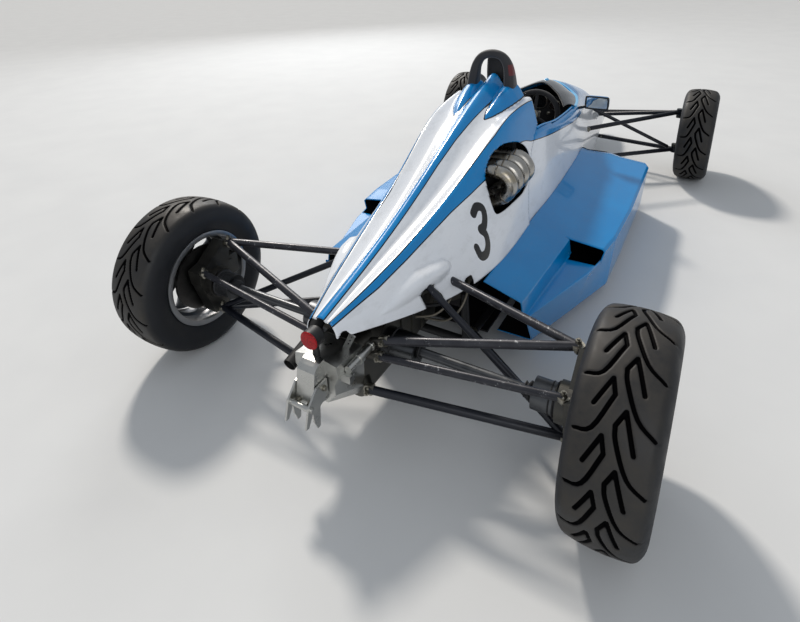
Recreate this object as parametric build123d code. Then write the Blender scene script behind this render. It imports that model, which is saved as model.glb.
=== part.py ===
from build123d import *
from math import cos, pi, radians, sin
import os

os.makedirs("parts", exist_ok=True)

# The car stands on the ground at z = 0 and faces -y. +x is its left side.
# Lengths are millimetres. The origin is on the ground in the middle of its length.

# Wheelbase, tracks and overhangs
WHEELBASE = 2570.0
FRONT_OVERHANG = 805.0
REAR_OVERHANG = 335.0
REAR_TRACK = 1540.0
FRONT_TRACK = 1530.0
LENGTH = FRONT_OVERHANG + WHEELBASE + REAR_OVERHANG
REAR_AXLE = LENGTH / 2 - REAR_OVERHANG
FRONT_AXLE = REAR_AXLE - WHEELBASE

# Where the engine cover starts, where the nose starts, and the cockpit between them
COVER_FRONT = REAR_AXLE - 1080.0
JOINT_Y = FRONT_AXLE + 520.0
COCKPIT = COVER_FRONT - JOINT_Y

# Tyres and rims
REAR_TYRE_R = 286.0
REAR_TYRE_W = 198.0
FRONT_TYRE_R = 278.0
FRONT_TYRE_W = 184.0
TREAD_DROP = 8.0
SHOULDER_IN = 20.0
BEAD_R = 165.0
RIM_WALL = 6.0
LIP_H = 13.0
LIP_T = 7.0
LIP_SET = 9.0
WEB_T = 9.0
WEB_IN = 62.0
WEB_WINDOWS = 8
WINDOW_R = 22.0
BRAKE_R = 122.0
BRAKE_T = 10.0
SEAT_GAP = 0.3

# Hub line: distances inboard from the wheel's middle plane, and radii
DISC_IN = 62.0
HUB_R = 34.0
STUB_R = 15.0
BEARING_R = 40.0

# Body panels
WALL = 4.0
GROUND_CLEAR = 42.0
FLOOR_T = 8.0
FLOOR_TOP = GROUND_CLEAR + FLOOR_T
TRAY_HALF = 235.0
PANEL_GAP = 2.0
RIM_ROUND = 26.0

# Engine cover stations. Columns: y from the rear axle, ridge z, valley x, valley z,
# shoulder x, shoulder z, flank x, flank z, hem x, hem z
COVER = [
    (-1080, 892, 85, 806, 165, 806, 222, 600, 266, 342),
    (-800, 800, 80, 752, 155, 770, 216, 560, 267, 342),
    (-500, 683, 58, 637, 125, 655, 203, 500, 267, 344),
    (-150, 554, 35, 528, 85, 541, 150, 460, 202, 366),
    (190, 464, 17, 453, 33, 455, 46, 434, 52, 410),
]
RIDGE_HALF = 16.0
RIDGE_DROP = 5.0

# Fairings behind the feet of the roll hoop and blisters over the rockers.
# Columns: x, y from the rear axle and z of both ends of the middle line, half width in the middle
FAIRING = ((116, -1330, 838), (65, -808, 757), 52)
BLISTER = ((187, -256, 450), (104, 62, 416), 29)
# Holes in the cover's flanks. Columns: y from the rear axle, z
EXHAUST_OPENING = [
    (-567, 496), (-569, 560), (-588, 625), (-640, 671), (-703, 692), (-768, 694), (-862, 672),
    (-925, 630), (-940, 575), (-905, 514), (-820, 483), (-700, 480), (-612, 482),
]
PUSHROD_SLOT = [(-92, 320), (-90, 412), (-103, 430), (-146, 430), (-150, 412), (-165, 385), (-168, 320)]
ARM_SLOT = [(-264, 300), (-264, 372), (-276, 383), (-316, 383), (-316, 365), (-300, 300)]

# Cockpit surround stations. Columns: share of the cockpit from the engine cover to the nose,
# floor x, waist x, waist z, rim x, rim z, top z
SURROUND = [
    (0, 236, 264, 345, 214, 684, 700),
    (0.19, 237, 262, 350, 229, 652, 672),
    (0.39, 233, 257, 349, 230, 628, 652),
    (0.665, 224, 246, 344, 215, 602, 648),
    (0.835, 212, 234, 336, 188, 598, 662),
    (1, 199, 223, 324, 160, 592, 660),
]
# Nose stations. Columns: y from the front axle, bottom z, floor x, waist x, waist z,
# rim x, rim z, top z
NOSE = [
    (520, 50, 199, 223, 324, 160, 592, 660),
    (340, 53, 188, 215, 305, 138, 560, 616),
    (0, 62, 165, 196, 262, 108, 470, 512),
    (-430, 92, 118, 150, 225, 80, 330, 358),
    (-720, 135, 60, 84, 215, 48, 262, 278),
    (-805, 176, 22, 30, 212, 20, 236, 242),
]
# The nose is solid ahead of this y, measured from the front axle
NOSE_BLOCK = -430.0
# Left half of the cockpit opening, from the rear to the front. Columns: x, share of the cockpit
OPENING = [
    (202, -0.02), (208, 0.1), (211, 0.247), (208, 0.39), (200, 0.557), (188, 0.7),
    (160, 0.825), (105, 0.907), (0, 0.95),
]
# Windscreen from its left end to its middle. Columns: x, share and z of the free edge,
# then x, share and z of the foot
SCREEN = [
    (168, 0.579, 622, 204, 0.675, 600),
    (140, 0.629, 642, 184, 0.794, 604),
    (93, 0.693, 668, 138, 0.892, 620),
    (0, 0.765, 696, 0, 0.979, 657),
]
SCREEN_T = 4.0

# Cockpit furniture
SEAT_HALF = 168.0
SEAT_T = 12.0
SEAT_BACK = COVER_FRONT - 70.0
DASH_Y = JOINT_Y + 250.0
DASH_LOW = 400.0
DASH_HIGH = 630.0
WHEEL_Y = JOINT_Y + 350.0
WHEEL_Z = 545.0
WHEEL_R = 125.0
WHEEL_RIM_R = 14.0
WHEEL_RAKE = 22.0
COLUMN_R = 12.0
COLUMN_L = 330.0
MIRROR_X = 297.0
MIRROR_Y = JOINT_Y + 215.0
MIRROR_Z = 610.0
MIRROR_W = 116.0
MIRROR_H = 64.0
MIRROR_D = 46.0
STALK_R = 8.0

# Roll hoop: columns of the tube's line are x and distance below its top, at the left leg
HOOP_Y = COVER_FRONT + 22.0
HOOP_TUBE_R = 17.0
HOOP_TOP = 994.0
HOOP_FOOT = 560.0
HOOP_LINE = [(92, HOOP_TOP - HOOP_FOOT), (87, 190), (80, 120), (69, 66), (43, 29), (0, HOOP_TUBE_R)]
# Padding round each leg. Columns: distance below the top, x, half width, half depth
LEG_PAD = [(HOOP_TOP - HOOP_FOOT, 88, 25, 38), (160, 84, 25, 38), (44, 59, 18, 18)]
BULKHEAD_T = 8.0
BULKHEAD_Y = HOOP_Y - 40.0

# Sidepods
POD_WALL = 4.0
POD_INNER = 266.0
POD_FLOOR_Z = 46.0
POD_TOP_Z = 343.0
POD_SHELF = (424.0, 300.0)
POD_CREST_Z = 284.0
POD_FOOT_X = 568.0
POD_CREST_X = 591.0
POD_FRONT = JOINT_Y + 92.0
POD_REAR = REAR_AXLE - 352.0
POD_TAIL_RAKE = 142.0
POD_SLOT_Y = REAR_AXLE - 856.0
POD_SLOT_Z = 240.0
POD_SLOT_LEAN = 12.0
POD_SLOT_TOE = 30.0
CORE_T = 42.0
CORE_Y = JOINT_Y + 550.0

# Engine and gearbox
ENGINE_W = 210.0
ENGINE_L = 470.0
ENGINE_REAR = REAR_AXLE - 505.0
ENGINE_BOTTOM = 92.0
ENGINE_TOP = 575.0
CAM_W = 110.0
CAM_H = 40.0
BELL_R = 150.0
BELL_REAR_R = 95.0
BELL_L = 190.0
BELL_Z = 262.0
CASE_W = 150.0
CASE_H = 205.0
CASE_TOP = 340.0
CASE_R = 32.0
CASE_REAR = REAR_AXLE + 105.0
# Tail casting: half sections at its front and at its shoulder, x against z
TAIL_FRONT = [(50, 150), (72, 190), (74, 250), (75, 310), (71, 334), (40, 338)]
TAIL_SHOULDER = [(30, 209), (60, 248), (60, 283), (75, 310), (71, 348), (30, 357)]
SHOULDER_Y = REAR_AXLE + 228.0
# Jacking post behind the shoulder, y from the rear axle against z
POST_HALF = 30.0
POST_LINE = [(224, 222), (291, 238), (271, 340), (262, 352), (244, 360), (224, 360)]
FORK_T = 6.0
FORK_GAP = 64.0
# Fork plate with two prongs, y from the rear axle against z
FORK_LINE = [
    (232, 302), (277, 302), (316, 264), (335, 206), (323, 204), (302, 238), (300, 204),
    (288, 172), (277, 174), (270, 236), (232, 250),
]
BAR_R = 8.0
BAR_Y = REAR_AXLE + 306.0
BAR_Z = 251.0
FLANGE_R = 46.0
LIGHT_R = 28.5
LIGHT_Y = REAR_AXLE + 250.0
LIGHT_Z = 423.0
LIGHT_D = 46.0

# Exhaust
PIPE_R = 24.0
PORT_PITCH = 67.0
PORT_FRONT = REAR_AXLE - 836.0
# Corners of each header's line from the cylinder head to the collector, x against z
HEADER_LINE = [(-224, 628), (-258, 573), (-222, 526), (-150, 494)]
HEADER_BEND = 34.0
PORT_Z = 628.0
COLLECTOR_R = 30.0
TAIL_PIPE_R = 20.0
TAIL_PIPE_WALL = 2.0
TAIL_PIPE_X = 97.0
TAIL_PIPE_Z = 293.0
TAIL_PIPE_END = REAR_AXLE + 232.0

# Suspension
ARM_R = 13.0
THIN_ARM_R = 11.0
BOSS_R = 18.0
BOSS_H = 38.0
UPRIGHT_IN = 130.0
KINGPIN_IN = 109.0
FRONT_UPPER_Z = 410.0
FRONT_LOWER_Z = 168.0
ROD_EYE_R = 10.0
ROD_EYE_H = 16.0
ROD_LIFT = 6.0

# Inner pivots and outer joints. Columns: x, y from that axle, z.
# An x below zero is measured inboard from half the track.
REAR_JOINTS = {
    "upper_outer": (-137, -73, 415),
    "upper_rear": (118, 59, 335),
    "upper_front": (180, -238, 398),
    "toe_inner": (118, 88, 300),
    "toe_outer": (-136, 56, 351),
    "push_inner": (128, -135, 452),
    "lower_outer": (-132, -2, 171),
    "lower_rear": (104, 128, 206),
    "lower_front": (232, -330, 140),
}
FRONT_JOINTS = {
    "upper_rear": (192, 458, 371),
    "upper_front": (140, -136, 306),
    "lower_rear": (180, 312, 136),
    "lower_front": (150, -135, 155),
    "push_inner": (120, 102, 421),
    "rod_inner": (120, -197, 313),
    "rod_outer": (-101, -75, 393),
}


def joint(table, axle, track, name, side=1):
    """The point called name, measured from its axle, on the left (1) or the right (-1)."""
    x, y, z = table[name]
    reach = x if x > 0 else track / 2 + x
    return Vector(side * reach, axle + y, z)


def bar(a, b, radius):
    """A round bar from point a to point b."""
    start, end = Vector(*a), Vector(*b)
    return Solid.make_cylinder(radius, (end - start).length, Plane(origin=start, z_dir=end - start))


def disc(centre, radius, height, direction=(0, 0, 1)):
    """A cylinder whose middle is at centre."""
    way = Vector(*direction).normalized()
    return Solid.make_cylinder(radius, height, Plane(origin=Vector(*centre) - way * height / 2, z_dir=way))


def block(low, high):
    """A box between two opposite corners."""
    size = [b - a for a, b in zip(low, high)]
    return Solid.make_box(*size, Plane(origin=Vector(*low)))


def span(low, high, *others):
    """A box from two x values in either order, and the y and z ranges that follow."""
    ranges = [sorted((low, high)), *others]
    return block([r[0] for r in ranges], [r[1] for r in ranges])


def joined(pieces):
    """The pieces fused to one shape."""
    whole = pieces[0]
    for piece in pieces[1:]:
        whole = whole + piece
    return whole


def outline(corners, plane_of):
    """A face with straight sides. plane_of turns a pair of numbers into a point."""
    points = [plane_of(a, b) for a, b in corners]
    return make_face(Polyline(*points, close=True))


def across(corners, low_x, high_x):
    """A plate between two x values. Columns of its corners: y from the rear axle, z."""
    face = outline(corners, lambda y, z: Vector(low_x, REAR_AXLE + y, z))
    return extrude(face, amount=high_x - low_x, dir=(1, 0, 0))


def biggest(shape):
    """The largest solid of a shape that a cut may have split."""
    return max(shape.solids(), key=lambda s: s.volume)


def mirrored(piece):
    """The piece on the other side of the car."""
    return mirror(piece, about=Plane.YZ)


def save(name, pieces):
    """Writes the solids of one node to its STEP file."""
    solids = []
    for piece in pieces:
        solids += piece.solids()
    shape = solids[0] if len(solids) == 1 else Compound(children=solids)
    shape.label = name
    export_step(shape, "parts/" + name + ".step")


# Engine cover, surround and nose: shells through stations


def both_sides(half, y):
    """Points of a half section and of its mirror image, keyed by their place and their side."""
    return [[Vector(side * x, y, z) for x, z in half] for side in (1, -1)]


def cover_wire(row, shrink, sink):
    """One station of the engine cover: flared flank, rounded shoulder, hollow valley and ridge."""
    y, ridge, vx, vz, sx, sz, fx, fz, hx, hz = row
    half = [
        (hx - shrink, hz - sink),
        (fx - shrink, fz),
        (sx - shrink, sz - shrink),
        (vx, vz - shrink),
        (RIDGE_HALF - shrink / 2, ridge - RIDGE_DROP - shrink),
    ]
    left, right = both_sides(half, REAR_AXLE + y)
    top = Vector(0, REAR_AXLE + y, ridge - shrink)
    edges = [Edge.make_line(right[0], left[0])]
    edges.append(Edge.make_three_point_arc(*left[:3]))
    edges.append(Edge.make_three_point_arc(*left[2:]))
    edges.append(Edge.make_three_point_arc(left[4], top, right[4]))
    edges.append(Edge.make_three_point_arc(*right[:1:-1]))
    edges.append(Edge.make_three_point_arc(*right[2::-1]))
    return Wire(edges)


def tub_wire(y, low, floor_x, waist_x, waist_z, rim_x, rim_z, top_z, shrink):
    """A closed station of the tub or the nose: upright side, leaning side, rounded rim and crowned deck."""
    waist = Vector(waist_x - shrink, waist_z)
    rim = Vector(rim_x - shrink, rim_z - shrink)
    turn = min(RIM_ROUND, rim_x / 3)
    below = rim + (waist - rim).normalized() * turn
    above = rim + Vector(-turn, 2 * (top_z - rim_z) * turn / rim.X)
    bend = (below + above) * 0.25 + rim * 0.5
    half = [(floor_x - shrink, low)] + [(p.X, p.Y) for p in (waist, below, bend, above)]
    left, right = both_sides(half, y)
    edges = []
    for points in (left, right):
        edges.append(Edge.make_line(points[0], points[1]))
        edges.append(Edge.make_line(points[1], points[2]))
        edges.append(Edge.make_three_point_arc(*points[2:]))
    edges.append(Edge.make_three_point_arc(left[4], Vector(0, y, top_z - shrink), right[4]))
    edges.append(Edge.make_line(right[0], left[0]))
    return Wire(edges)


def shelled(rows, wire_of, wall, sink):
    """A thin shell through the stations, open at both ends and, where sink is set, below."""
    outer = Solid.make_loft([wire_of(row, 0, 0) for row in rows])
    first, last = rows[0], rows[-1]
    longer = [(first[0] - 1.0, *first[1:]), *rows[1:-1], (last[0] + 1.0, *last[1:])]
    inner = Solid.make_loft([wire_of(row, wall, sink) for row in longer])
    return outer - inner


def surround_wire(row, shrink, sink):
    """One station of the cockpit surround, whose walls stand on the floor tray."""
    return tub_wire(row[0], FLOOR_TOP + SEAT_GAP - sink, *row[1:], shrink)


def nose_wire(row, shrink):
    """One station of the nose cone."""
    y, low, *rest = row
    return tub_wire(FRONT_AXLE + y, low + shrink, *rest, shrink)


surround_rows = [(COVER_FRONT - share * COCKPIT, *rest) for share, *rest in SURROUND[::-1]]
surround_rows[0] = (JOINT_Y + PANEL_GAP, *surround_rows[0][1:])
surround_rows[-1] = (COVER_FRONT - PANEL_GAP, *surround_rows[-1][1:])
surround_solid = Solid.make_loft([surround_wire(row, 0, 0) for row in surround_rows])
surround = shelled(surround_rows, surround_wire, WALL, 6)
half_mouth = [Vector(x, COVER_FRONT - share * COCKPIT) for x, share in OPENING]
mouth = half_mouth + [Vector(-p.X, p.Y) for p in half_mouth[-2::-1]]
mouth_face = make_face([Spline(*mouth), Line(mouth[-1], mouth[0])])
surround = biggest(surround - extrude(Pos(0, 0, DASH_LOW) * mouth_face, amount=500))
save("cockpit_surround", [surround])

nose_solid = Solid.make_loft([nose_wire(row, 0) for row in NOSE])
nose_inner = Solid.make_loft([nose_wire(row, WALL) for row in [(NOSE[0][0] + 1, *NOSE[0][1:]), *NOSE[1:]]])
nose_room = block((-300, FRONT_AXLE + NOSE_BLOCK, 0), (300, JOINT_Y + 10, 800))
nose = nose_solid - (nose_inner & nose_room)
save("nose_cone", [biggest(nose)])
tub_solid = nose_solid + surround_solid

# Roll hoop


def hoop_point(x, drop):
    """A point of the hoop's line, drop below the hoop's top."""
    return Vector(x, HOOP_Y, HOOP_TOP - drop)


def leg_pad(side, grow):
    """The padding of one leg of the roll hoop, grown on all sides."""
    faces = []
    for drop, x, half_wide, half_deep in LEG_PAD:
        plane = Plane(origin=hoop_point(side * x, drop), x_dir=(1, 0, 0), z_dir=(0, 0, 1))
        faces.append(plane * Rectangle(2 * (half_wide + grow), 2 * (half_deep + grow)))
    return loft(faces, ruled=True)


hoop_points = [hoop_point(x, drop) for x, drop in HOOP_LINE]
hoop_points += [hoop_point(-x, drop) for x, drop in HOOP_LINE[-2::-1]]
hoop_path = Spline(*hoop_points)
hoop_start = Plane(origin=hoop_points[0], z_dir=hoop_path % 0)
hoop_tube = sweep(hoop_start * Circle(HOOP_TUBE_R), path=hoop_path)
below_hoop = block((-200, HOOP_Y - 100, HOOP_FOOT - 100), (200, HOOP_Y + 100, HOOP_FOOT + SEAT_GAP))
hoop = joined([hoop_tube, leg_pad(1, 0), leg_pad(-1, 0)]) - below_hoop
save("roll_hoop", [biggest(hoop)])

# Floor tray, bulkhead and engine bay tubes

cross_z = CASE_TOP - CASE_H - 15 - SEAT_GAP
bay_front, bay_rear = REAR_AXLE - 1060, REAR_AXLE - 300
bay_x, top_x, rail_r, strut_r = 222, 214, 15, 13
tray = block((-TRAY_HALF, JOINT_Y, GROUND_CLEAR), (TRAY_HALF, REAR_AXLE - 470, FLOOR_TOP))
bulkhead_half = [(230, FLOOR_TOP - 2), (257, 345), (210, 640), (24, 640), (24, HOOP_TOP - 130)]
bulkhead_line = bulkhead_half + [(-x, z) for x, z in bulkhead_half[::-1]]
bulkhead_face = outline(bulkhead_line, lambda x, z: Vector(x, BULKHEAD_Y - BULKHEAD_T, z))
bulkhead = extrude(bulkhead_face, amount=BULKHEAD_T, dir=(0, 1, 0))
frame_pieces = [tray, bulkhead, bar((-bay_x, bay_rear, cross_z), (bay_x, bay_rear, cross_z), rail_r)]
for side in (1, -1):
    low_front, low_rear = (side * bay_x, bay_front, 85), (side * bay_x, bay_rear, cross_z)
    high_front, high_rear = (side * bay_x, bay_front, 295), (side * top_x, bay_rear, 305)
    frame_pieces.append(bar(low_front, low_rear, rail_r))
    frame_pieces.append(bar(high_front, high_rear, strut_r))
    frame_pieces.append(bar((side * bay_x, bay_front, FLOOR_TOP - 6), (side * bay_x, bay_front, 305), 14))
    frame_pieces.append(bar((side * bay_x, bay_rear, cross_z - 10), (side * top_x, bay_rear, 315), 14))
    frame_pieces.append(bar((side * bay_x, BULKHEAD_Y - 4, 295), high_front, strut_r))
    foot_x = LEG_PAD[0][1]
    foot_y, foot_z = (BULKHEAD_Y - 4, HOOP_Y + 30), (HOOP_FOOT - 30, HOOP_FOOT)
    frame_pieces.append(span(side * (foot_x - 20), side * (foot_x + 20), foot_y, foot_z))
frame_body = joined(frame_pieces)
save("chassis_frame", [frame_body])

# Sidepods


def pod_plan(z, shrink, ends):
    """The left sidepod's outline at height z, x against y. Its outer wall leans, more so at the rear."""
    rise = (z - POD_FLOOR_Z) / (POD_CREST_Z - POD_FLOOR_Z)

    def wall(foot, crest):
        return foot + (crest - foot) * rise - shrink

    return [
        (POD_INNER + shrink, POD_FRONT + 86 - ends),
        (374, POD_FRONT + 4 - ends),
        (505 - shrink, POD_FRONT - ends),
        (wall(POD_FOOT_X - 22, POD_CREST_X - 22), POD_FRONT + 28 - ends / 2),
        (wall(POD_FOOT_X, POD_CREST_X - 5), POD_FRONT + 90),
        (wall(POD_FOOT_X, POD_CREST_X), REAR_AXLE - 1300),
        (wall(POD_FOOT_X - 5, POD_CREST_X - 11), REAR_AXLE - 987),
        (wall(480, 545), REAR_AXLE - 740),
        (wall(349, 424), POD_REAR + ends),
        (POD_INNER + shrink, POD_REAR + 12 + ends),
    ]


def pod_body(shrink, ends):
    """The sidepod's block: its cross-section run along the car and trimmed to its leaning plan."""
    shelf_x, shelf_z = POD_SHELF
    profile = [
        (POD_INNER + shrink, POD_FLOOR_Z + shrink),
        (POD_CREST_X + 30, POD_FLOOR_Z + shrink),
        (POD_CREST_X + 30, POD_CREST_Z - 2 - shrink),
        (POD_CREST_X - 10, POD_CREST_Z - shrink),
        (shelf_x, shelf_z - shrink),
        (POD_INNER + shrink, POD_TOP_Z - shrink),
    ]
    start = POD_FRONT - 100
    section = outline(profile, lambda x, z: Vector(x, start, z))
    run = extrude(section, amount=POD_REAR + 200 - start, dir=(0, 1, 0))
    low, high = POD_FLOOR_Z - 10, POD_TOP_Z + 20
    faces = [outline(pod_plan(z, shrink, ends), lambda x, y: Vector(x, y, z)) for z in (low, high)]
    return run & loft(faces, ruled=True)


def pod_recess(grow):
    """What is cut away behind the outlet slot: a trough that runs out at the rear and at the outer wall."""
    floor_z, top_z = POD_SLOT_Z - grow, POD_TOP_Z + 60
    faces = []
    for z, lean in ((floor_z, POD_SLOT_LEAN), (top_z, -POD_SLOT_LEAN)):
        inner = POD_SHELF[0] + lean - grow
        corners = [
            (inner, POD_SLOT_Y),
            (POD_CREST_X + 60, POD_SLOT_Y),
            (POD_CREST_X + 60, POD_REAR + 60),
            (inner - POD_SLOT_TOE, POD_REAR + 60),
        ]
        faces.append(outline(corners, lambda x, y: Vector(x, y, z)))
    return loft(faces, ruled=True)


def sidepod():
    """The left sidepod: a duct open at both ends, with an outlet slot and the trough behind it."""
    shell = (pod_body(0, 0) - pod_recess(0)) - (pod_body(POD_WALL, 40) - pod_recess(POD_WALL))
    low, high = POD_FLOOR_Z - 20, POD_TOP_Z + 60
    tail = [(-352 - POD_TAIL_RAKE, low), (-352, POD_SLOT_Z + 10), (-352, high), (0, high), (0, low)]
    return biggest(shell - across(tail, POD_INNER - 20, POD_CREST_X + 60))


pod = sidepod()
save("sidepod_left", [pod])
save("sidepod_right", [mirrored(pod)])

core_low = (POD_INNER + 40, CORE_Y, POD_FLOOR_Z + POD_WALL + SEAT_GAP)
core = block(core_low, (POD_FOOT_X - 40, CORE_Y + CORE_T, POD_CREST_Z - 12))
save("radiator_cores", [core, mirrored(core)])

# Engine cover with its fairings, blisters and holes


def spindle(start, end, half_wide):
    """A round lump that is pointed at both ends: an arc turned about its middle line."""
    a, b = (Vector(x, REAR_AXLE + y, z) for x, y, z in (start, end))
    along = Plane(origin=a, x_dir=b - a, z_dir=(b - a).cross(Vector(0, 0, 1)))
    reach = (b - a).length
    arc = (Vector(0, 0), Vector(reach / 2, half_wide), Vector(reach, 0))
    points = [along.from_local_coords(p) for p in arc]
    edges = [Edge.make_three_point_arc(*points), Edge.make_line(points[2], points[0])]
    return revolve(make_face(Wire(edges)), axis=Axis(a, b - a))


cover_outer = Solid.make_loft([cover_wire(row, 0, 0) for row in COVER])
cover_longer = [(COVER[0][0] - 1.0, *COVER[0][1:]), *COVER[1:-1], (COVER[-1][0] + 1.0, *COVER[-1][1:])]
cover_inner = Solid.make_loft([cover_wire(row, WALL, 40) for row in cover_longer])
behind_front = block((-400, COVER_FRONT, 0), (400, REAR_AXLE + 300, 1200))
lumps = [spindle(*FAIRING) & behind_front, spindle(*BLISTER)]
lumps += [mirrored(piece) for piece in lumps]
cover = joined([cover_outer, *lumps]) - cover_inner
for side in (1, -1):
    cover = cover - leg_pad(side, SEAT_GAP)
    push = [joint(REAR_JOINTS, REAR_AXLE, REAR_TRACK, n, side) for n in ("push_inner", "lower_outer")]
    cover = cover - bar(push[0], push[1], ARM_R + 6)
    leg = [joint(REAR_JOINTS, REAR_AXLE, REAR_TRACK, n, side) for n in ("upper_front", "upper_outer")]
    cover = cover - bar(leg[0], leg[1], ARM_R + 6)
    low_x, high_x = sorted((side * 90, side * 300))
    cover = cover - across(PUSHROD_SLOT, low_x, high_x) - across(ARM_SLOT, low_x, high_x)
hole_points = [Vector(-320, REAR_AXLE + y, z) for y, z in EXHAUST_OPENING]
hole = make_face(Spline(*hole_points, periodic=True))
cover = cover - extrude(hole, amount=200, dir=(1, 0, 0))
cover = biggest(cover - pod - mirrored(pod))
save("engine_cover", [cover])

# Cockpit furniture

seat_line = [
    (0, 640), (-60, 420), (-180, 170), (-330, 95), (-520, 150), (-520, 150 - SEAT_T),
    (-330, 95 - SEAT_T), (-180 + SEAT_T, 170 - SEAT_T), (-60 + SEAT_T, 420), (SEAT_T, 640),
]
bolster_line = [(-6, 600), (-60, 420), (-180, 170), (-330, 96), (-300, 190), (-120, 400)]


def seat_plate(line, x, thick):
    """A plate of the seat across the car. Columns of its line: y from the seat back, z."""
    return extrude(outline(line, lambda y, z: Vector(x, SEAT_BACK + y, z)), amount=thick, dir=(1, 0, 0))


seat = seat_plate(seat_line, -SEAT_HALF, 2 * SEAT_HALF)
for x in (-SEAT_HALF, SEAT_HALF - SEAT_T):
    seat = seat + seat_plate(bolster_line, x, SEAT_T)
seat_foot = block((-60, SEAT_BACK - 350, FLOOR_TOP + SEAT_GAP), (60, SEAT_BACK - 310, 90))
save("seat", [seat + seat_foot])

rest_y = BULKHEAD_Y - BULKHEAD_T - SEAT_GAP
rest = block((-45, rest_y - 42, HOOP_TOP - 160), (45, rest_y, HOOP_TOP - 42))
save("head_rest", [fillet(rest.edges().filter_by(Axis.Y), 18)])

dash = block((-TRAY_HALF, DASH_Y - 6, DASH_LOW), (TRAY_HALF, DASH_Y, DASH_HIGH))
dash = dash & Solid.make_loft([surround_wire(row, WALL + SEAT_GAP, 0) for row in surround_rows])
rake = radians(WHEEL_RAKE)
spin = Vector(0, -cos(rake), -sin(rake))
hub = Vector(0, WHEEL_Y, WHEEL_Z)
column = bar(hub + spin * 22, hub + spin * COLUMN_L, COLUMN_R)
save("dash_panel", [biggest(dash) + column])

ring_plane = Plane(origin=hub, z_dir=spin, x_dir=(1, 0, 0))
wheel_pieces = [Solid.make_torus(WHEEL_R, WHEEL_RIM_R, ring_plane)]
wheel_pieces.append(Solid.make_cylinder(28, 36, Plane(origin=hub - spin * 15, z_dir=spin)))
for turn in (90, 210, 330):
    a = radians(turn)
    end = ring_plane.from_local_coords(Vector(WHEEL_R * cos(a), WHEEL_R * sin(a), 0))
    wheel_pieces.append(bar(hub, end, 8))
save("steering_wheel", [joined(wheel_pieces)])


def screen_section(row, side):
    """One cross-section of the screen: a thin strip from its foot to its free edge."""
    x, share, z, foot_x, foot_share, foot_z = row
    top = Vector(side * x, COVER_FRONT - share * COCKPIT, z)
    foot = Vector(side * foot_x, COVER_FRONT - foot_share * COCKPIT, foot_z)
    up = Vector(0, 0, SCREEN_T)
    return Wire(Polyline(foot, top, top + up, foot + up, close=True).edges())


screen_wires = [screen_section(row, 1) for row in SCREEN]
screen_wires += [screen_section(row, -1) for row in SCREEN[-2::-1]]
screen = Solid.make_loft(screen_wires) - surround_solid
save("windscreen", [biggest(screen)])


def mirror_head(side):
    """One mirror: a rounded housing that is hollow towards the driver, its glass, and its stalk."""
    low = (side * MIRROR_X - MIRROR_W / 2, MIRROR_Y - MIRROR_D / 2, MIRROR_Z - MIRROR_H / 2)
    high = (side * MIRROR_X + MIRROR_W / 2, MIRROR_Y + MIRROR_D / 2, MIRROR_Z + MIRROR_H / 2)
    head = block(low, high)
    head = fillet(head.edges().filter_by(Axis.Y), 16)
    head = fillet(head.faces().sort_by(Axis.Y)[0].edges(), 10)
    frame = 5.0
    pocket = block([v + frame for v in low], (high[0] - frame, high[1] + 1, high[2] - frame))
    glass_y = high[1] - 10
    pocket = pocket & block((low[0], glass_y, low[2]), (high[0], high[1] + 1, high[2]))
    stalk = bar((side * 170, MIRROR_Y, 560), (side * (MIRROR_X - 30), MIRROR_Y - 4, MIRROR_Z - 20), STALK_R)
    return biggest(((head - pocket) + stalk) - surround_solid)


save("mirrors", [mirror_head(1), mirror_head(-1)])

# Engine and gearbox

engine_low = (-ENGINE_W / 2, ENGINE_REAR - ENGINE_L, ENGINE_BOTTOM)
engine = block(engine_low, (ENGINE_W / 2, ENGINE_REAR, ENGINE_TOP))
head_low = (-ENGINE_W / 2, ENGINE_REAR - ENGINE_L + 60, ENGINE_TOP - 1)
port_deck = block(head_low, (0, PORT_FRONT + 3 * PORT_PITCH + 40, PORT_Z + PIPE_R + 6))
cam_low = (-CAM_W / 2, ENGINE_REAR - ENGINE_L + 30, ENGINE_TOP - 1)
cam_cover = block(cam_low, (CAM_W / 2, ENGINE_REAR - 30, ENGINE_TOP + CAM_H))
cam_cover = fillet(cam_cover.edges().filter_by(Axis.Y), 14)
engine = joined([engine, cam_cover, port_deck]) - cover
save("engine_block", [biggest(engine)])

hub_z = REAR_TYRE_R
bell_plane = Plane(origin=(0, ENGINE_REAR + SEAT_GAP, BELL_Z), z_dir=(0, 1, 0))
bell = Solid.make_cone(BELL_R, BELL_REAR_R, BELL_L, bell_plane)
bell_flange = Solid.make_cylinder(BELL_R + 12, 12, bell_plane)
case = block((-CASE_W / 2, ENGINE_REAR + 150, CASE_TOP - CASE_H), (CASE_W / 2, CASE_REAR, CASE_TOP))
case = fillet(case.edges().filter_by(Axis.Y), CASE_R)
side_cover = disc((0, REAR_AXLE, hub_z), 62, CASE_W + 34, (1, 0, 0))
casing = [bell, bell_flange, case, side_cover]
for y in (REAR_AXLE - 250, REAR_AXLE - 180, REAR_AXLE - 110):
    rib = block((-CASE_W / 2 - 6, y - 4, CASE_TOP - CASE_H + 20), (CASE_W / 2 + 6, y + 4, CASE_TOP + 5))
    casing.append(fillet(rib.edges().filter_by(Axis.Y), 20))
LUGS = (
    ("upper_rear", 312, 13), ("toe_inner", 290, 12), ("lower_rear", 206, 14), ("push_inner", 300, 12),
    ("upper_front", 300, 12),
)
for side in (1, -1):
    for name, root_z, radius in LUGS:
        tip = joint(REAR_JOINTS, REAR_AXLE, REAR_TRACK, name, side)
        root = Vector(side * (CASE_W / 2 - 10), min(tip.Y, CASE_REAR - 15), root_z)
        casing.append(bar(root, tip, radius))
gearbox = joined(casing)
save("gearbox_case", [gearbox])


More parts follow.
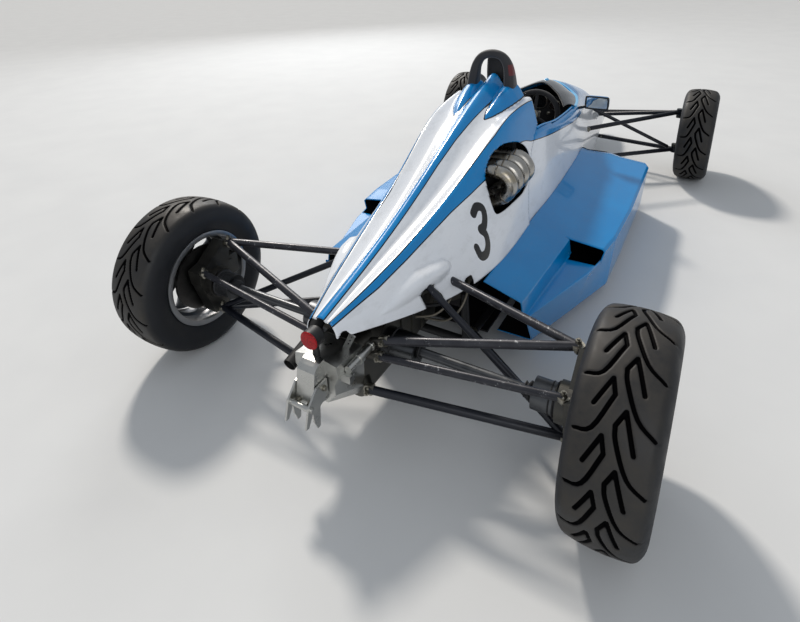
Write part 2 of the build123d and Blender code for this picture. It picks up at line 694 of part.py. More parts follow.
def tail_section(half, y):
    """One closed section of the tail casting."""
    corners = half + [(-x, z) for x, z in half[::-1]]
    return outline(corners, lambda x, z: Vector(x, y, z))


tail_body = loft(
    [tail_section(TAIL_FRONT, CASE_REAR + SEAT_GAP), tail_section(TAIL_SHOULDER, SHOULDER_Y)], ruled=True
)
post = across(POST_LINE, -POST_HALF, POST_HALF)
post = chamfer(post.edges().filter_by(Axis.X).sort_by(Axis.Z)[-3:], 3)
tail_pieces = [tail_body, post]
for side in (1, -1):
    middle = side * (FORK_GAP + FORK_T) / 2
    tail_pieces.append(across(FORK_LINE, middle - FORK_T / 2, middle + FORK_T / 2))
reach = FORK_GAP / 2 + FORK_T
tail_pieces.append(block((-reach, REAR_AXLE + 234, 270), (reach, REAR_AXLE + 262, 296)))
tail_pieces.append(bar((-reach - 6, BAR_Y, BAR_Z), (reach + 6, BAR_Y, BAR_Z), BAR_R))
shaft_x, shaft_z = -86.0, 322.0
for start, end, radius in ((79, 197, 12), (134, 148, 16), (79, 87, 14.5)):
    ends = [(shaft_x, REAR_AXLE + y, shaft_z) for y in (start, end)]
    tail_pieces.append(bar(*ends, radius))
tail_pieces.append(block((-100, REAR_AXLE + 186, 288), (-70, REAR_AXLE + 210, 312)))
bracket_line = [(-34, 345), (-62, 404), (-80, 394), (-52, 338)]
bracket_face = outline(bracket_line, lambda x, z: Vector(x, REAR_AXLE + 142, z))
bracket = extrude(bracket_face, amount=4, dir=(0, 1, 0))
for share in (0.15, 0.45, 0.75):
    spot = (-71 + 22 * share, REAR_AXLE + 144, 399 - 46 * share)
    bracket = bracket - disc(spot, 3.5, 10, (0, 1, 0))
tail = joined([*tail_pieces, bracket]) - gearbox
save("gearbox_tail", [biggest(tail)])

lamp_post = block((-10, LIGHT_Y - LIGHT_D + 6, 340), (10, LIGHT_Y - LIGHT_D + 22, LIGHT_Z))
lamp = disc((0, LIGHT_Y - LIGHT_D / 2, LIGHT_Z), LIGHT_R, LIGHT_D, (0, 1, 0)) + lamp_post
save("rear_light", [biggest(lamp - tail)])

# Exhaust

pipes = []
for i in range(4):
    y = PORT_FRONT + i * PORT_PITCH
    start = Vector(-ENGINE_W / 2 - SEAT_GAP, y, PORT_Z)
    way = FilletPolyline(start, *[Vector(x, y, z) for x, z in HEADER_LINE], radius=HEADER_BEND)
    pipes.append(sweep(Plane(origin=start, z_dir=(-1, 0, 0)) * Circle(PIPE_R), path=way))
    pipes.append(block((start.X - 8, y - 31, PORT_Z - 29), (start.X, y + 31, PORT_Z + 27)))
collector_x, collector_z = HEADER_LINE[-1]
collector_end = REAR_AXLE - 470
collector_start = (collector_x, PORT_FRONT - 20, collector_z)
pipes.append(bar(collector_start, (collector_x, collector_end, collector_z), COLLECTOR_R))
save("exhaust_headers", [joined(pipes)])

pipe_points = [
    Vector(collector_x, collector_end + SEAT_GAP, collector_z),
    Vector(collector_x, REAR_AXLE - 390, collector_z),
    Vector(50, REAR_AXLE - 180, 430),
    Vector(TAIL_PIPE_X, REAR_AXLE + 59, 368),
    Vector(TAIL_PIPE_X, REAR_AXLE + 150, TAIL_PIPE_Z + 18),
    Vector(TAIL_PIPE_X, TAIL_PIPE_END, TAIL_PIPE_Z),
]
tail_path = FilletPolyline(*pipe_points, radius=40)
tail_pipe = sweep(Plane(origin=pipe_points[0], z_dir=(0, 1, 0)) * Circle(TAIL_PIPE_R), path=tail_path)
pipe_end = Plane(origin=pipe_points[-1], z_dir=pipe_points[-1] - pipe_points[-2])
bore_r, bore_len = TAIL_PIPE_R - TAIL_PIPE_WALL, 60.0
tail_pipe = tail_pipe - Solid.make_cylinder(bore_r, bore_len + 2, pipe_end.offset(-bore_len))
save("exhaust_tailpipe", [tail_pipe])

# Rear suspension and uprights


def caliper(x, axle, height, side, behind):
    """A brake caliper astride the disc, behind (1) or ahead (-1) of the axle, on a lug inboard."""
    a, b = sorted((x + side * (-DISC_IN - 26), x + side * (-DISC_IN + BRAKE_T + 24)))
    near, far = BRAKE_R - 42, BRAKE_R + 22
    low, high = sorted((axle + behind * near, axle + behind * far))
    body = block((a, low, height - 42), (b, high, height + 42))
    body = fillet(body.edges().filter_by(Axis.X), 12)
    slot_a, slot_b = sorted((x + side * (-DISC_IN - 5), x + side * (-DISC_IN + BRAKE_T + 5)))
    slot = disc(((slot_a + slot_b) / 2, axle, height), BRAKE_R + 5, slot_b - slot_a, (1, 0, 0))
    return body - slot


rear_x = REAR_TRACK / 2
upright_x = rear_x - UPRIGHT_IN
upright_line = [(-82, 412), (-56, 424), (30, 362), (74, 352), (70, 300), (30, 165), (-34, 165), (-60, 300)]
upper_arms, lower_arms, toe_links, pushrods, uprights, rear_shafts = [], [], [], [], [], []
for side in (1, -1):
    p = {name: joint(REAR_JOINTS, REAR_AXLE, REAR_TRACK, name, side) for name in REAR_JOINTS}
    x = side * rear_x
    plate = across(upright_line, *sorted((side * upright_x, side * (rear_x - DISC_IN - 12))))
    plate = plate + disc((side * upright_x, REAR_AXLE, hub_z), BEARING_R + 16, 54, (1, 0, 0))
    plate = plate + caliper(x, REAR_AXLE, hub_z, side, -1)
    lug_x = (side * (rear_x - DISC_IN - 30), side * (rear_x - DISC_IN - 14))
    plate = plate + span(*lug_x, (REAR_AXLE - BRAKE_R + 10, REAR_AXLE - 40), (hub_z - 25, hub_z + 25))
    upright = plate - disc((side * upright_x, REAR_AXLE, hub_z), BEARING_R, 300, (1, 0, 0))
    uprights.append(upright)
    upper = [bar(p[name], p["upper_outer"], ARM_R) for name in ("upper_rear", "upper_front")]
    upper_arms.append(biggest(joined(upper) - upright - gearbox))
    lower = [bar(p[name], p["lower_outer"], ARM_R) for name in ("lower_rear", "lower_front")]
    lower_arms.append(biggest(joined(lower) - upright - gearbox - frame_body))
    toe_links.append(biggest(bar(p["toe_inner"], p["toe_outer"], THIN_ARM_R) - upright - gearbox))
    push = bar(p["push_inner"], p["lower_outer"], THIN_ARM_R)
    pushrods.append(biggest(push - upright - gearbox - lower_arms[-1]))
    inner_end = CASE_W / 2 + 17 + SEAT_GAP
    stretches = (
        (inner_end, 200, FLANGE_R), (195, upright_x - 50, 14), (upright_x - 92, upright_x - 36, FLANGE_R - 2),
        (upright_x - 40, rear_x - DISC_IN - SEAT_GAP, BEARING_R - SEAT_GAP),
    )
    shaft = [bar((side * a, REAR_AXLE, hub_z), (side * b, REAR_AXLE, hub_z), r) for a, b, r in stretches]
    rear_shafts.append(joined(shaft))

save("rear_uprights", uprights)
save("rear_upper_arms", upper_arms)
save("rear_lower_arms", lower_arms)
save("rear_toe_links", toe_links)
save("rear_pushrods", pushrods)

# Front suspension, steering links and knuckles

front_x = FRONT_TRACK / 2
kingpin_x = front_x - KINGPIN_IN
stem_in, stem_out = kingpin_x + 8, kingpin_x + 28
ear_low = FRONT_LOWER_Z + BOSS_H / 2 + SEAT_GAP
ear_high = FRONT_UPPER_Z - BOSS_H / 2 - SEAT_GAP
front_upper, front_lower, front_push, knuckles, rods = [], [], [], [], []
for side in (1, -1):
    pin_x = side * kingpin_x
    upper = Vector(pin_x, FRONT_AXLE, FRONT_UPPER_Z)
    lower = Vector(pin_x, FRONT_AXLE, FRONT_LOWER_Z)
    p = {name: joint(FRONT_JOINTS, FRONT_AXLE, FRONT_TRACK, name, side) for name in FRONT_JOINTS}
    legs = [bar(p[name], upper, ARM_R) for name in ("upper_rear", "upper_front")]
    front_upper.append(biggest(joined([*legs, disc(upper, BOSS_R, BOSS_H)]) - tub_solid))
    legs = [bar(p[name], lower, ARM_R) for name in ("lower_rear", "lower_front")]
    lower_arm = joined([*legs, disc(lower, BOSS_R, BOSS_H)])
    front_lower.append(biggest(lower_arm - tub_solid))
    push = bar(p["push_inner"], lower + Vector(-side * 40, 4, 12), THIN_ARM_R)
    front_push.append(biggest(push - lower_arm - tub_solid))
    stem = span(side * stem_in, side * stem_out, (FRONT_AXLE - 26, FRONT_AXLE + 26), (ear_low, ear_high))
    knuckle = [stem]
    for z in (ear_low + 8, ear_high - 8):
        knuckle.append(disc((pin_x, FRONT_AXLE, z), BOSS_R, 16))
        knuckle.append(span(pin_x, side * (stem_in + 8), (FRONT_AXLE - 16, FRONT_AXLE + 16), (z - 8, z + 8)))
    stub_from = (side * (stem_in + 6), FRONT_AXLE, FRONT_TYRE_R)
    knuckle.append(bar(stub_from, (side * (front_x + 20), FRONT_AXLE, FRONT_TYRE_R), STUB_R))
    eye = p["rod_outer"]
    arm_z = eye.Z - ROD_EYE_H / 2 - ROD_LIFT
    knuckle.append(span(side * stem_in, side * (stem_in + 16), (eye.Y, FRONT_AXLE - 20), (arm_z - 12, arm_z)))
    knuckle.append(disc((eye.X, eye.Y, arm_z - 6), ROD_EYE_R + 2, 12))
    knuckle.append(caliper(front_x * side, FRONT_AXLE, FRONT_TYRE_R, side, 1))
    lug_x = (side * (front_x - DISC_IN - 24), side * (front_x - DISC_IN - 8))
    lug_y = (FRONT_AXLE + 20, FRONT_AXLE + BRAKE_R - 20)
    knuckle.append(span(*lug_x, lug_y, (FRONT_TYRE_R - 22, FRONT_TYRE_R + 22)))
    knuckles.append(joined(knuckle))
    rod = bar(p["rod_inner"], eye, 9) + disc(eye, ROD_EYE_R, ROD_EYE_H)
    rods.append(biggest(rod - tub_solid))
save("front_upper_arms", front_upper)
save("front_lower_arms", front_lower)
save("front_pushrods", front_push)
save("front_left_knuckle", [knuckles[0]])
save("front_right_knuckle", [knuckles[1]])
save("steering_rods", rods)

# Wheels


def turned(x, axle, height, corners, side):
    """A solid turned about the wheel's axis. Columns of its half-section: distance outboard, radius."""
    face = outline(corners, lambda a, r: Vector(x + side * a, axle, height + r))
    return revolve(face, axis=Axis((x, axle, height), (1, 0, 0)))


def tyre(x, axle, radius, width, side):
    """A low racing tyre: straight bead, bulging sidewalls, round shoulders and a slightly crowned tread."""

    def at(a, r):
        return Vector(x + side * a, axle, radius + r)

    half, bead, lip = width / 2, BEAD_R + SEAT_GAP, BEAD_R + LIP_H
    seat, edge, shoulder = half - LIP_SET - LIP_T - SEAT_GAP, half - SHOULDER_IN, radius - TREAD_DROP
    bulge = (lip + radius) / 2
    edges = [
        Edge.make_line(at(-seat, bead), at(seat, bead)),
        Edge.make_line(at(seat, bead), at(seat, lip)),
        Edge.make_three_point_arc(at(seat, lip), at(half, bulge), at(edge, shoulder)),
        Edge.make_three_point_arc(at(edge, shoulder), at(0, radius), at(-edge, shoulder)),
        Edge.make_three_point_arc(at(-edge, shoulder), at(-half, bulge), at(-seat, lip)),
        Edge.make_line(at(-seat, lip), at(-seat, bead)),
    ]
    return revolve(make_face(Wire(edges)), axis=Axis((x, axle, radius), (1, 0, 0)))


def rim(x, axle, radius, width, side):
    """A deep alloy rim: barrel with two lips and a pierced web that bolts to the hub."""
    half = width / 2
    inner, web_at = BEAD_R - RIM_WALL, half - WEB_IN
    lip_out, lip_in, crest = half - LIP_SET, half - LIP_SET - LIP_T, BEAD_R + LIP_H
    section = [
        (-lip_out, crest), (-lip_in, crest), (-lip_in, BEAD_R),
        (lip_in, BEAD_R), (lip_in, crest), (lip_out, crest),
        (lip_out, inner), (web_at + WEB_T, inner), (web_at + WEB_T, HUB_R - 8), (web_at, HUB_R - 8),
        (web_at, inner), (-lip_out, inner),
    ]
    body = turned(x, axle, radius, section, side)
    ring = (inner + HUB_R) / 2
    for i in range(WEB_WINDOWS):
        turn = 2 * pi * i / WEB_WINDOWS
        centre = (x + side * (web_at + WEB_T / 2), axle + ring * cos(turn), radius + ring * sin(turn))
        body = body - disc(centre, WINDOW_R, WEB_T + 4, (1, 0, 0))
    return body


def brake_disc(x, axle, radius, width, side, bore):
    """The brake disc on its hub, which reaches out to the wheel's web."""
    web_at = width / 2 - WEB_IN
    section = [
        (-DISC_IN, bore), (-DISC_IN, BRAKE_R),
        (-DISC_IN + BRAKE_T, BRAKE_R), (-DISC_IN + BRAKE_T, HUB_R + 14),
        (web_at - 14, HUB_R + 8), (web_at, HUB_R + 8), (web_at, bore),
    ]
    return turned(x, axle, radius, section, side)


corners = (
    ("rear_left", 1, REAR_AXLE, rear_x, REAR_TYRE_R, REAR_TYRE_W, 0),
    ("rear_right", -1, REAR_AXLE, rear_x, REAR_TYRE_R, REAR_TYRE_W, 0),
    ("front_left", 1, FRONT_AXLE, front_x, FRONT_TYRE_R, FRONT_TYRE_W, STUB_R + SEAT_GAP),
    ("front_right", -1, FRONT_AXLE, front_x, FRONT_TYRE_R, FRONT_TYRE_W, STUB_R + SEAT_GAP),
)
for name, side, axle, reach, radius, width, bore in corners:
    save(name + "_tyre", [tyre(side * reach, axle, radius, width, side)])
    save(name + "_rim", [rim(side * reach, axle, radius, width, side)])
    save(name + "_brake_disc", [brake_disc(side * reach, axle, radius, width, side, bore)])
save("rear_left_driveshaft", [rear_shafts[0]])
save("rear_right_driveshaft", [rear_shafts[1]])
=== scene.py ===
import bpy
import numpy as np
from math import pi
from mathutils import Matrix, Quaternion, Vector


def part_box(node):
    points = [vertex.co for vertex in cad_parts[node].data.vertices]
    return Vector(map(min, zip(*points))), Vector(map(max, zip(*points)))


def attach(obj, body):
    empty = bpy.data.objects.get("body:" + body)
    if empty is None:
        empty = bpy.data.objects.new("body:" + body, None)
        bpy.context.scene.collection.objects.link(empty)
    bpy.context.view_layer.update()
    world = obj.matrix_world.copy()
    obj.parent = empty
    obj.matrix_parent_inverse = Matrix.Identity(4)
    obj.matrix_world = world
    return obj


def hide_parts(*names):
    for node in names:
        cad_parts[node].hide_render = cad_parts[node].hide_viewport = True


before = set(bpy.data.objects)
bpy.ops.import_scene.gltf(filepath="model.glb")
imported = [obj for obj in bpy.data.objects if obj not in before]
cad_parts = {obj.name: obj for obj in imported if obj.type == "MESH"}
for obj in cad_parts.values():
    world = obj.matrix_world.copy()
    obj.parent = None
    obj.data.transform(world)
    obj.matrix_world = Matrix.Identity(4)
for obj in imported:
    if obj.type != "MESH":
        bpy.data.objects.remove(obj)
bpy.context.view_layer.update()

# Studio
# The camera stands 1.4 m up behind the car's right rear corner and looks forward and down, along the car.
# Its place, heading, dip, roll and lens were worked out from the wheel centres and track widths in the photo.

MM = 0.001
PHOTO_WIDTH = 800
CAMERA_PLACE = Vector((-0.8411, 2.6644, 1.3726))
CAMERA_HEADING, CAMERA_DIP, CAMERA_ROLL = 0.53854, 0.38922, -0.0378
CAMERA_LENS, CAMERA_SENSOR = 24.76, 36.0
CAMERA_SHIFT = -131 / PHOTO_WIDTH
FLOOR_HALF = 30.0
SUN_FROM, SUN_POWER, SUN_ANGLE = Vector((0.62, -0.52, 0.80)), 2.3, 0.12
SKY_POWER = 0.5


def linear(text):
    """sRGB hex to linear: a channel c is ((c + 0.055) / 1.055) to the power 2.4, or c / 12.92 if dark."""
    c = np.array([int(text[i:i + 2], 16) / 255 for i in (1, 3, 5)])
    return (*np.where(c > 0.04045, ((c + 0.055) / 1.055) ** 2.4, c / 12.92).tolist(), 1.0)


def add_node(tree, kind, inputs, **settings):
    """One shader node with its settings. Each input is filled with a value, or linked to a socket or to the
    first output of a node."""
    made = tree.nodes.new("ShaderNode" + kind)
    for name, value in settings.items():
        setattr(made, name, value)
    for name, value in inputs.items():
        if isinstance(value, bpy.types.Node):
            value = value.outputs[0]
        if isinstance(value, bpy.types.NodeSocket):
            tree.links.new(value, made.inputs[name])
        else:
            made.inputs[name].default_value = value
    return made


def new_finish(name, **shader):
    """An empty material with one principled shader, whose uniform numbers are set on its own sockets."""
    material = bpy.data.materials.new(name)
    material.use_nodes = True
    tree = material.node_tree
    body = tree.nodes["Principled BSDF"]
    for key, value in shader.items():
        body.inputs[key.replace("_", " ")].default_value = value
    place = add_node(tree, "TexCoord", {}).outputs["Object"]
    return material, tree, body, place


def clouded(name, dark, light, scale, detail=2.0, **shader):
    """An even finish whose colour drifts between two tones in soft clouds, about 1 / scale metres across."""
    material, tree, body, place = new_finish(name, **shader)
    cloud = add_node(tree, "TexNoise", {"Vector": place, "Scale": scale, "Detail": detail})
    tone = add_node(tree, "Mix", {0: cloud, 6: linear(dark), 7: linear(light)}, data_type="RGBA")
    tree.links.new(tone.outputs[2], body.inputs["Base Color"])
    return material


look = Vector((
    np.sin(CAMERA_HEADING) * np.cos(CAMERA_DIP), -np.cos(CAMERA_HEADING) * np.cos(CAMERA_DIP),
    -np.sin(CAMERA_DIP),
))
camera = bpy.data.objects.new("camera", bpy.data.cameras.new("camera"))
camera.data.sensor_width = CAMERA_SENSOR
camera.data.lens = CAMERA_LENS
camera.data.shift_y = CAMERA_SHIFT
camera.rotation_mode = "QUATERNION"
camera.rotation_quaternion = look.to_track_quat("-Z", "Y") @ Quaternion((0, 0, 1), CAMERA_ROLL)
camera.location = CAMERA_PLACE
bpy.context.scene.collection.objects.link(camera)
bpy.context.scene.camera = camera

floor_mesh = bpy.data.meshes.new("floor")
floor_corners = [(x * FLOOR_HALF, y * FLOOR_HALF, 0) for x, y in ((-1, -1), (1, -1), (1, 1), (-1, 1))]
floor_mesh.from_pydata(floor_corners, [], [(0, 1, 2, 3)])
floor_mesh.materials.append(clouded("pale_studio_floor", "#C9CBCD", "#D3D5D6", 3.0, 4.0, Roughness=0.9))
floor = bpy.data.objects.new("floor", floor_mesh)
bpy.context.scene.collection.objects.link(floor)

world = bpy.data.worlds.new("studio")
world.use_nodes = True
world.node_tree.nodes["Background"].inputs["Color"].default_value = linear("#E9EEF4")
world.node_tree.nodes["Background"].inputs["Strength"].default_value = SKY_POWER
bpy.context.scene.world = world
bpy.context.scene.view_settings.view_transform = "Standard"


def studio_lamp(name, kind, power, way, place=(0, 0, 0)):
    """A lamp of one kind and power that shines along way."""
    lamp = bpy.data.lights.new(name, kind)
    lamp.energy = power
    holder = bpy.data.objects.new(name, lamp)
    holder.location = place
    holder.rotation_mode = "QUATERNION"
    holder.rotation_quaternion = Vector(way).to_track_quat("-Z", "Y")
    bpy.context.scene.collection.objects.link(holder)
    return lamp


# A distant key with soft edges throws the shadows to the car's right, as the low sun does in the photo, and
# two soft boxes that face the cockpit fill them. Columns: name, place, power
key = studio_lamp("key", "SUN", SUN_POWER, -SUN_FROM)
key.angle = SUN_ANGLE
key.color = linear("#FFF6EA")[:3]
BOX_WIDTH, BOX_AIM = 4.0, Vector((0, 0.3, 0.4))
for name, place, power in (("tall_box", (5.0, -5.0, 4.5), 190), ("tail_fill", (-3.5, 6.5, 4.0), 120)):
    studio_lamp(name, "AREA", power, BOX_AIM - Vector(place), place).size = BOX_WIDTH

# Engine cover
# One glass fibre moulding over the engine: a fin on the middle, two hollow valleys, two shoulders and
# flared flanks. It is laid up in a mould, sprayed white and blue, and pinned to the chassis at its hem.

COVER_SIDE, COVER_ROWS, COVER_WALL = 92, 206, 3 * MM
RIDGE_HALF, RIDGE_DROP = 16 * MM, 5 * MM
FOLD_PASSES = 30
# Columns: y from the rear axle, ridge z, valley x and z, shoulder x and z, flank x and z, hem x and z
COVER = MM * np.array([
    (-1080, 892, 85, 806, 165, 806, 222, 600, 266, 342), (-800, 800, 80, 752, 155, 770, 216, 560, 267, 342),
    (-500, 683, 58, 637, 125, 655, 203, 500, 267, 344), (-150, 554, 35, 528, 85, 541, 150, 460, 202, 366),
    (190, 464, 17, 453, 33, 455, 46, 434, 52, 410),
])
rear_low, rear_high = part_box("rear_left_tyre")
REAR_AXLE = (rear_low.y + rear_high.y) / 2


def through(rows, at):
    """Natural cubic spline. The rows' first column is where they stand, and the others are worked out at
    the places at. The second slopes at the rows solve the usual tridiagonal system, and are zero at both
    ends."""
    where, values = rows[:, 0], rows[:, 1:]
    gap = np.diff(where)
    slope = np.diff(values, axis=0) / gap[:, None]
    system, right = np.eye(len(where)), np.zeros_like(values)
    for i in range(1, len(where) - 1):
        system[i, i - 1:i + 2] = gap[i - 1], 2 * (gap[i - 1] + gap[i]), gap[i]
        right[i] = 6 * (slope[i] - slope[i - 1])
    bend = np.linalg.solve(system, right)
    k = np.clip(np.searchsorted(where, at) - 1, 0, len(gap) - 1)
    g, t = gap[k][:, None], (np.asarray(at) - where[k])[:, None]
    start = slope[k] - g * (2 * bend[k] + bend[k + 1]) / 6
    return values[k] + t * start + t ** 2 * bend[k] / 2 + t ** 3 * (bend[k + 1] - bend[k]) / (6 * g)


def arc_through(a, b, c, t):
    """The parabola from a at 0 through b at 1/2 to c at 1, for whole arrays of a, b, c and one row of t."""
    a, b, c, t = a[:, None], b[:, None], c[:, None], t[None, :, None]
    return (1 - t) * (1 - 2 * t) * a + 4 * t * (1 - t) * b + t * (2 * t - 1) * c


def softened(points, passes):
    """Each point of a section becomes half of itself plus a quarter of each neighbour, to round its folds."""
    for turn in range(passes):
        points[:, 1:-1] = (points[:, :-2] + 2 * points[:, 1:-1] + points[:, 2:]) / 4
    return points


def run_length(points):
    """The distance along each section from its first point."""
    step = np.linalg.norm(np.diff(points, axis=1), axis=2)
    return np.concatenate([np.zeros((len(points), 1)), np.cumsum(step, axis=1)], axis=1)


def evenly(sections, count):
    """Each section's line cut anew into count points, equal distances apart."""
    runs = run_length(sections)
    at = np.linspace(0, 1, count)
    return np.array([
        [np.interp(at * run[-1], run, line[:, axis]) for axis in (0, 1)] for run, line in zip(runs, sections)
    ]).transpose(0, 2, 1)


def along_car(section, y):
    """A grid of section points, placed along the car at y from the rear axle, and each point's y."""
    yy = np.broadcast_to(y, section.shape[:2]).copy()
    return np.stack([section[..., 0], REAR_AXLE + yy, section[..., 1]], axis=-1), yy


def unit(vectors):
    """Vectors made one metre long."""
    return vectors / np.linalg.norm(vectors, axis=-1, keepdims=True)


def pairs(*values):
    """Section points for every row of the grid, from the rows' x and z."""
    return np.stack(np.broadcast_arrays(*values), axis=1)


def quads(rows, columns, around=False, along=False):
    """Faces between the points of a grid of rows by columns, wrapped around its columns or along its rows."""
    i = np.arange(rows if along else rows - 1)[:, None]
    j = np.arange(columns if around else columns - 1)[None, :]
    a, b = i * columns + j, i * columns + (j + 1) % columns
    c, d = (i + 1) % rows * columns + (j + 1) % columns, (i + 1) % rows * columns + j
    return np.stack([a, b, c, d], axis=-1).reshape(-1, 4)


def kept(points, faces):
    """The points that the faces still use, the faces renumbered for them, and the points' old numbers."""
    used, index = np.unique(faces, return_inverse=True)
    return points[used], index.reshape(faces.shape), used


def piece(name, points, faces, finish, body="chassis", slot=None, replaces=(), **attributes):
    """A smooth mesh from arrays of points and faces, with point attributes, riding on its body."""
    mesh = bpy.data.meshes.new(name)
    mesh.from_pydata(np.asarray(points).reshape(-1, 3).tolist(), [], [list(f) for f in faces])
    mesh.polygons.foreach_set("use_smooth", [True] * len(mesh.polygons))
    for key, value in attributes.items():
        layer = mesh.attributes.new(key, "FLOAT", "POINT")
        layer.data.foreach_set("value", np.asarray(value, np.float32).ravel())
    mesh.materials.append(finish)
    mesh.update()
    made = bpy.data.objects.new(name, mesh)
    bpy.context.scene.collection.objects.link(made)
    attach(made, body)
    if replaces:
        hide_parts(*replaces)
    return made


def thickened(made, wall, offset=-1.0, lining=None):
    """A solidify modifier gives a panel its wall, inwards by default, and a lining if there is one."""
    wall_mod = made.modifiers.new("wall", "SOLIDIFY")
    wall_mod.thickness = wall
    wall_mod.offset = offset
    if lining:
        made.data.materials.append(lining)
        wall_mod.material_offset = 1
    return made


def cover_half():
    """The left half of the cover on a grid: stations y along the car by steps across from the ridge to the
    hem. Each section is a ridge cap and two parabolas, through valley and flank, with the folds softened,
    and y is straight."""
    y = np.linspace(COVER[0, 0], COVER[-1, 0], COVER_ROWS)
    ridge, valley_x, valley_z, shoulder_x, shoulder_z, flank_x, flank_z, hem_x, hem_z = through(COVER, y).T
    top, edge = pairs(0, ridge), pairs(RIDGE_HALF, ridge - RIDGE_DROP)
    shoulder = pairs(shoulder_x, shoulder_z)
    cap = top[:, None] + (edge - top)[:, None] * np.linspace(0, 1, 7)[None, :-1, None] ** [1.0, 2.0]
    upper = arc_through(edge, pairs(valley_x, valley_z), shoulder, np.linspace(0, 1, 60)[:-1])
    lower = arc_through(shoulder, pairs(flank_x, flank_z), pairs(hem_x, hem_z), np.linspace(0, 1, 120))
    section = np.concatenate([cap, upper, lower], axis=1)
    both = np.concatenate([section[:, :0:-1] * [-1, 1], section], axis=1)
    return along_car(evenly(softened(both, FOLD_PASSES)[:, section.shape[1] - 1:], COVER_SIDE), y[:, None])


def grid_normals(points):
    """Outward normals of a grid: the cross product of its slopes across and along."""
    return unit(np.cross(np.gradient(points, axis=1), np.gradient(points, axis=0)))


def table_at(table, y, column):
    """One column of a table at each y, by straight runs between its rows."""
    return np.interp(y, table[:, 0], table[:, column])


def x_to_run(x_edge):
    """The distance along the surface at which each section reaches the half-width x_edge."""
    return np.array([
        np.interp(edge, np.maximum.accumulate(row[:, 0]), run)
        for edge, row, run in zip(x_edge, half, run_length(half))
    ])[:, None]


half, half_y = cover_half()
full = np.concatenate([half[:, :0:-1] * [-1, 1, 1], half], axis=1)
full_y = np.concatenate([half_y[:, :0:-1], half_y], axis=1)
across = np.abs(np.concatenate([run_length(half)[:, :0:-1], run_length(half)], axis=1))

# The blue field: a stripe down the fin and one along each shoulder, kept as the distance inside their edges.
# Columns: y from the rear axle, then x of the middle stripe's edge
MIDDLE_STRIPE = MM * np.array([
    (-1090, 62), (-1020, 54), (-857, 41), (-747, 31), (-640, 23), (-500, 18), (-200, 15.5), (190, 13),
])
# Columns: y from the rear axle, then x of the shoulder stripe's inner and outer edge
SHOULDER_STRIPE = MM * np.array([
    (-1090, 172, 213), (-1020, 166, 211), (-980, 163, 207), (-930, 159, 200), (-860, 153, 192),
    (-722, 147, 185), (-578, 130, 168), (-484, 119, 154), (-361, 102, 134), (-240, 93, 118),
    (-115, 81, 101), (-41, 70, 89), (14, 62, 80), (92, 49, 62), (190, 29, 40),
])
station = half_y[:, 0]
middle_edge = x_to_run(table_at(MIDDLE_STRIPE, station, 1))
inner_edge, outer_edge = (x_to_run(table_at(SHOULDER_STRIPE, station, column)) for column in (1, 2))
blue = np.maximum(middle_edge - across, np.minimum(across - inner_edge, outer_edge - across))

# Blister over the rocker. Columns: y from the rear axle, z of its middle, half width, height
BLISTER = MM * np.array([
    (-252, 448, 0.5, 0), (-244, 449, 12, 9), (-225, 450, 25, 19), (-170, 448, 31, 25), (-110, 447, 32, 22),
    (-50, 438, 26, 14), (0, 427, 17, 7), (60, 416, 0.5, 0),
])
# Fairing behind each hoop foot. Columns: y from the rear axle, x of its middle, half width, height
FAIRING = MM * np.array([
    (-1080, 91, 46, 54), (-1020, 90, 44, 50), (-960, 86, 38, 38), (-900, 79, 28, 24), (-850, 71, 16, 10),
    (-812, 65, 0.5, 0),
])
FLANK_X, SIDE_X, RIGHT_FLANK, RIGHT_TAIL = 60 * MM, 30 * MM, -100 * MM, -20 * MM
# Both swell by their height times (1 - share of the half width squared) to a power that rounds the foot
off = np.abs(full[..., 2] - table_at(BLISTER, full_y, 1)) / table_at(BLISTER, full_y, 2)
swell = table_at(BLISTER, full_y, 3) * np.clip(1 - off ** 2, 0, 1) ** 1.1 * (np.abs(full[..., 0]) > FLANK_X)
beside, fairing_half = np.abs(full[..., 0]) - table_at(FAIRING, full_y, 1), table_at(FAIRING, full_y, 2)
hump = table_at(FAIRING, full_y, 3) * np.clip(1 - (beside / fairing_half) ** 2, 0, 1) ** 0.9
full = full + grid_normals(full) * swell[..., None] + np.array([0, 0, 1]) * hump[..., None]
blue = np.maximum(blue, np.where(full_y < FAIRING[-1, 0], fairing_half - np.abs(beside), -1.0))
flat = full.reshape(-1, 3)
plane = np.stack([flat[:, 1] - REAR_AXLE, flat[:, 2]], axis=1)
sides = np.abs(flat[:, 0]) > SIDE_X


def distance_to_path(points, path):
    """Least distance from each 2-D point to an open path of straight runs."""
    best = np.full(len(points), 1e9)
    for p, q in zip(path[:-1], path[1:]):
        t = np.clip((points - p) @ (q - p) / ((q - p) @ (q - p)), 0, 1)
        best = np.minimum(best, np.linalg.norm(points - p - t[:, None] * (q - p), axis=1))
    return best


def catmull_rom(p0, p1, p2, p3, steps):
    """Steps points on the way from each p1 to p2: half of 2 p1 + (p2 - p0) t + (2 p0 - 5 p1 + 4 p2 - p3) t
    squared + (3 p1 - p0 - 3 p2 + p3) t cubed."""
    t = np.linspace(0, 1, steps, endpoint=False)[None, :, None]
    square, cube = 2 * p0 - 5 * p1 + 4 * p2 - p3, 3 * p1 - p0 - 3 * p2 + p3
    return ((2 * p1 + (p2 - p0) * t + square * t ** 2 + cube * t ** 3) / 2).reshape(-1, p1.shape[-1])


def curved(path, steps=6):
    """An open path made smooth: a Catmull-Rom curve through its points, with steps points to a run."""
    ends = np.concatenate([2 * path[:1] - path[1:2], path, 2 * path[-1:] - path[-2:-1]])
    corners = (ends[i:len(ends) - 3 + i][:, None] for i in range(4))
    return np.concatenate([catmull_rom(*corners, steps), path[-1:]])


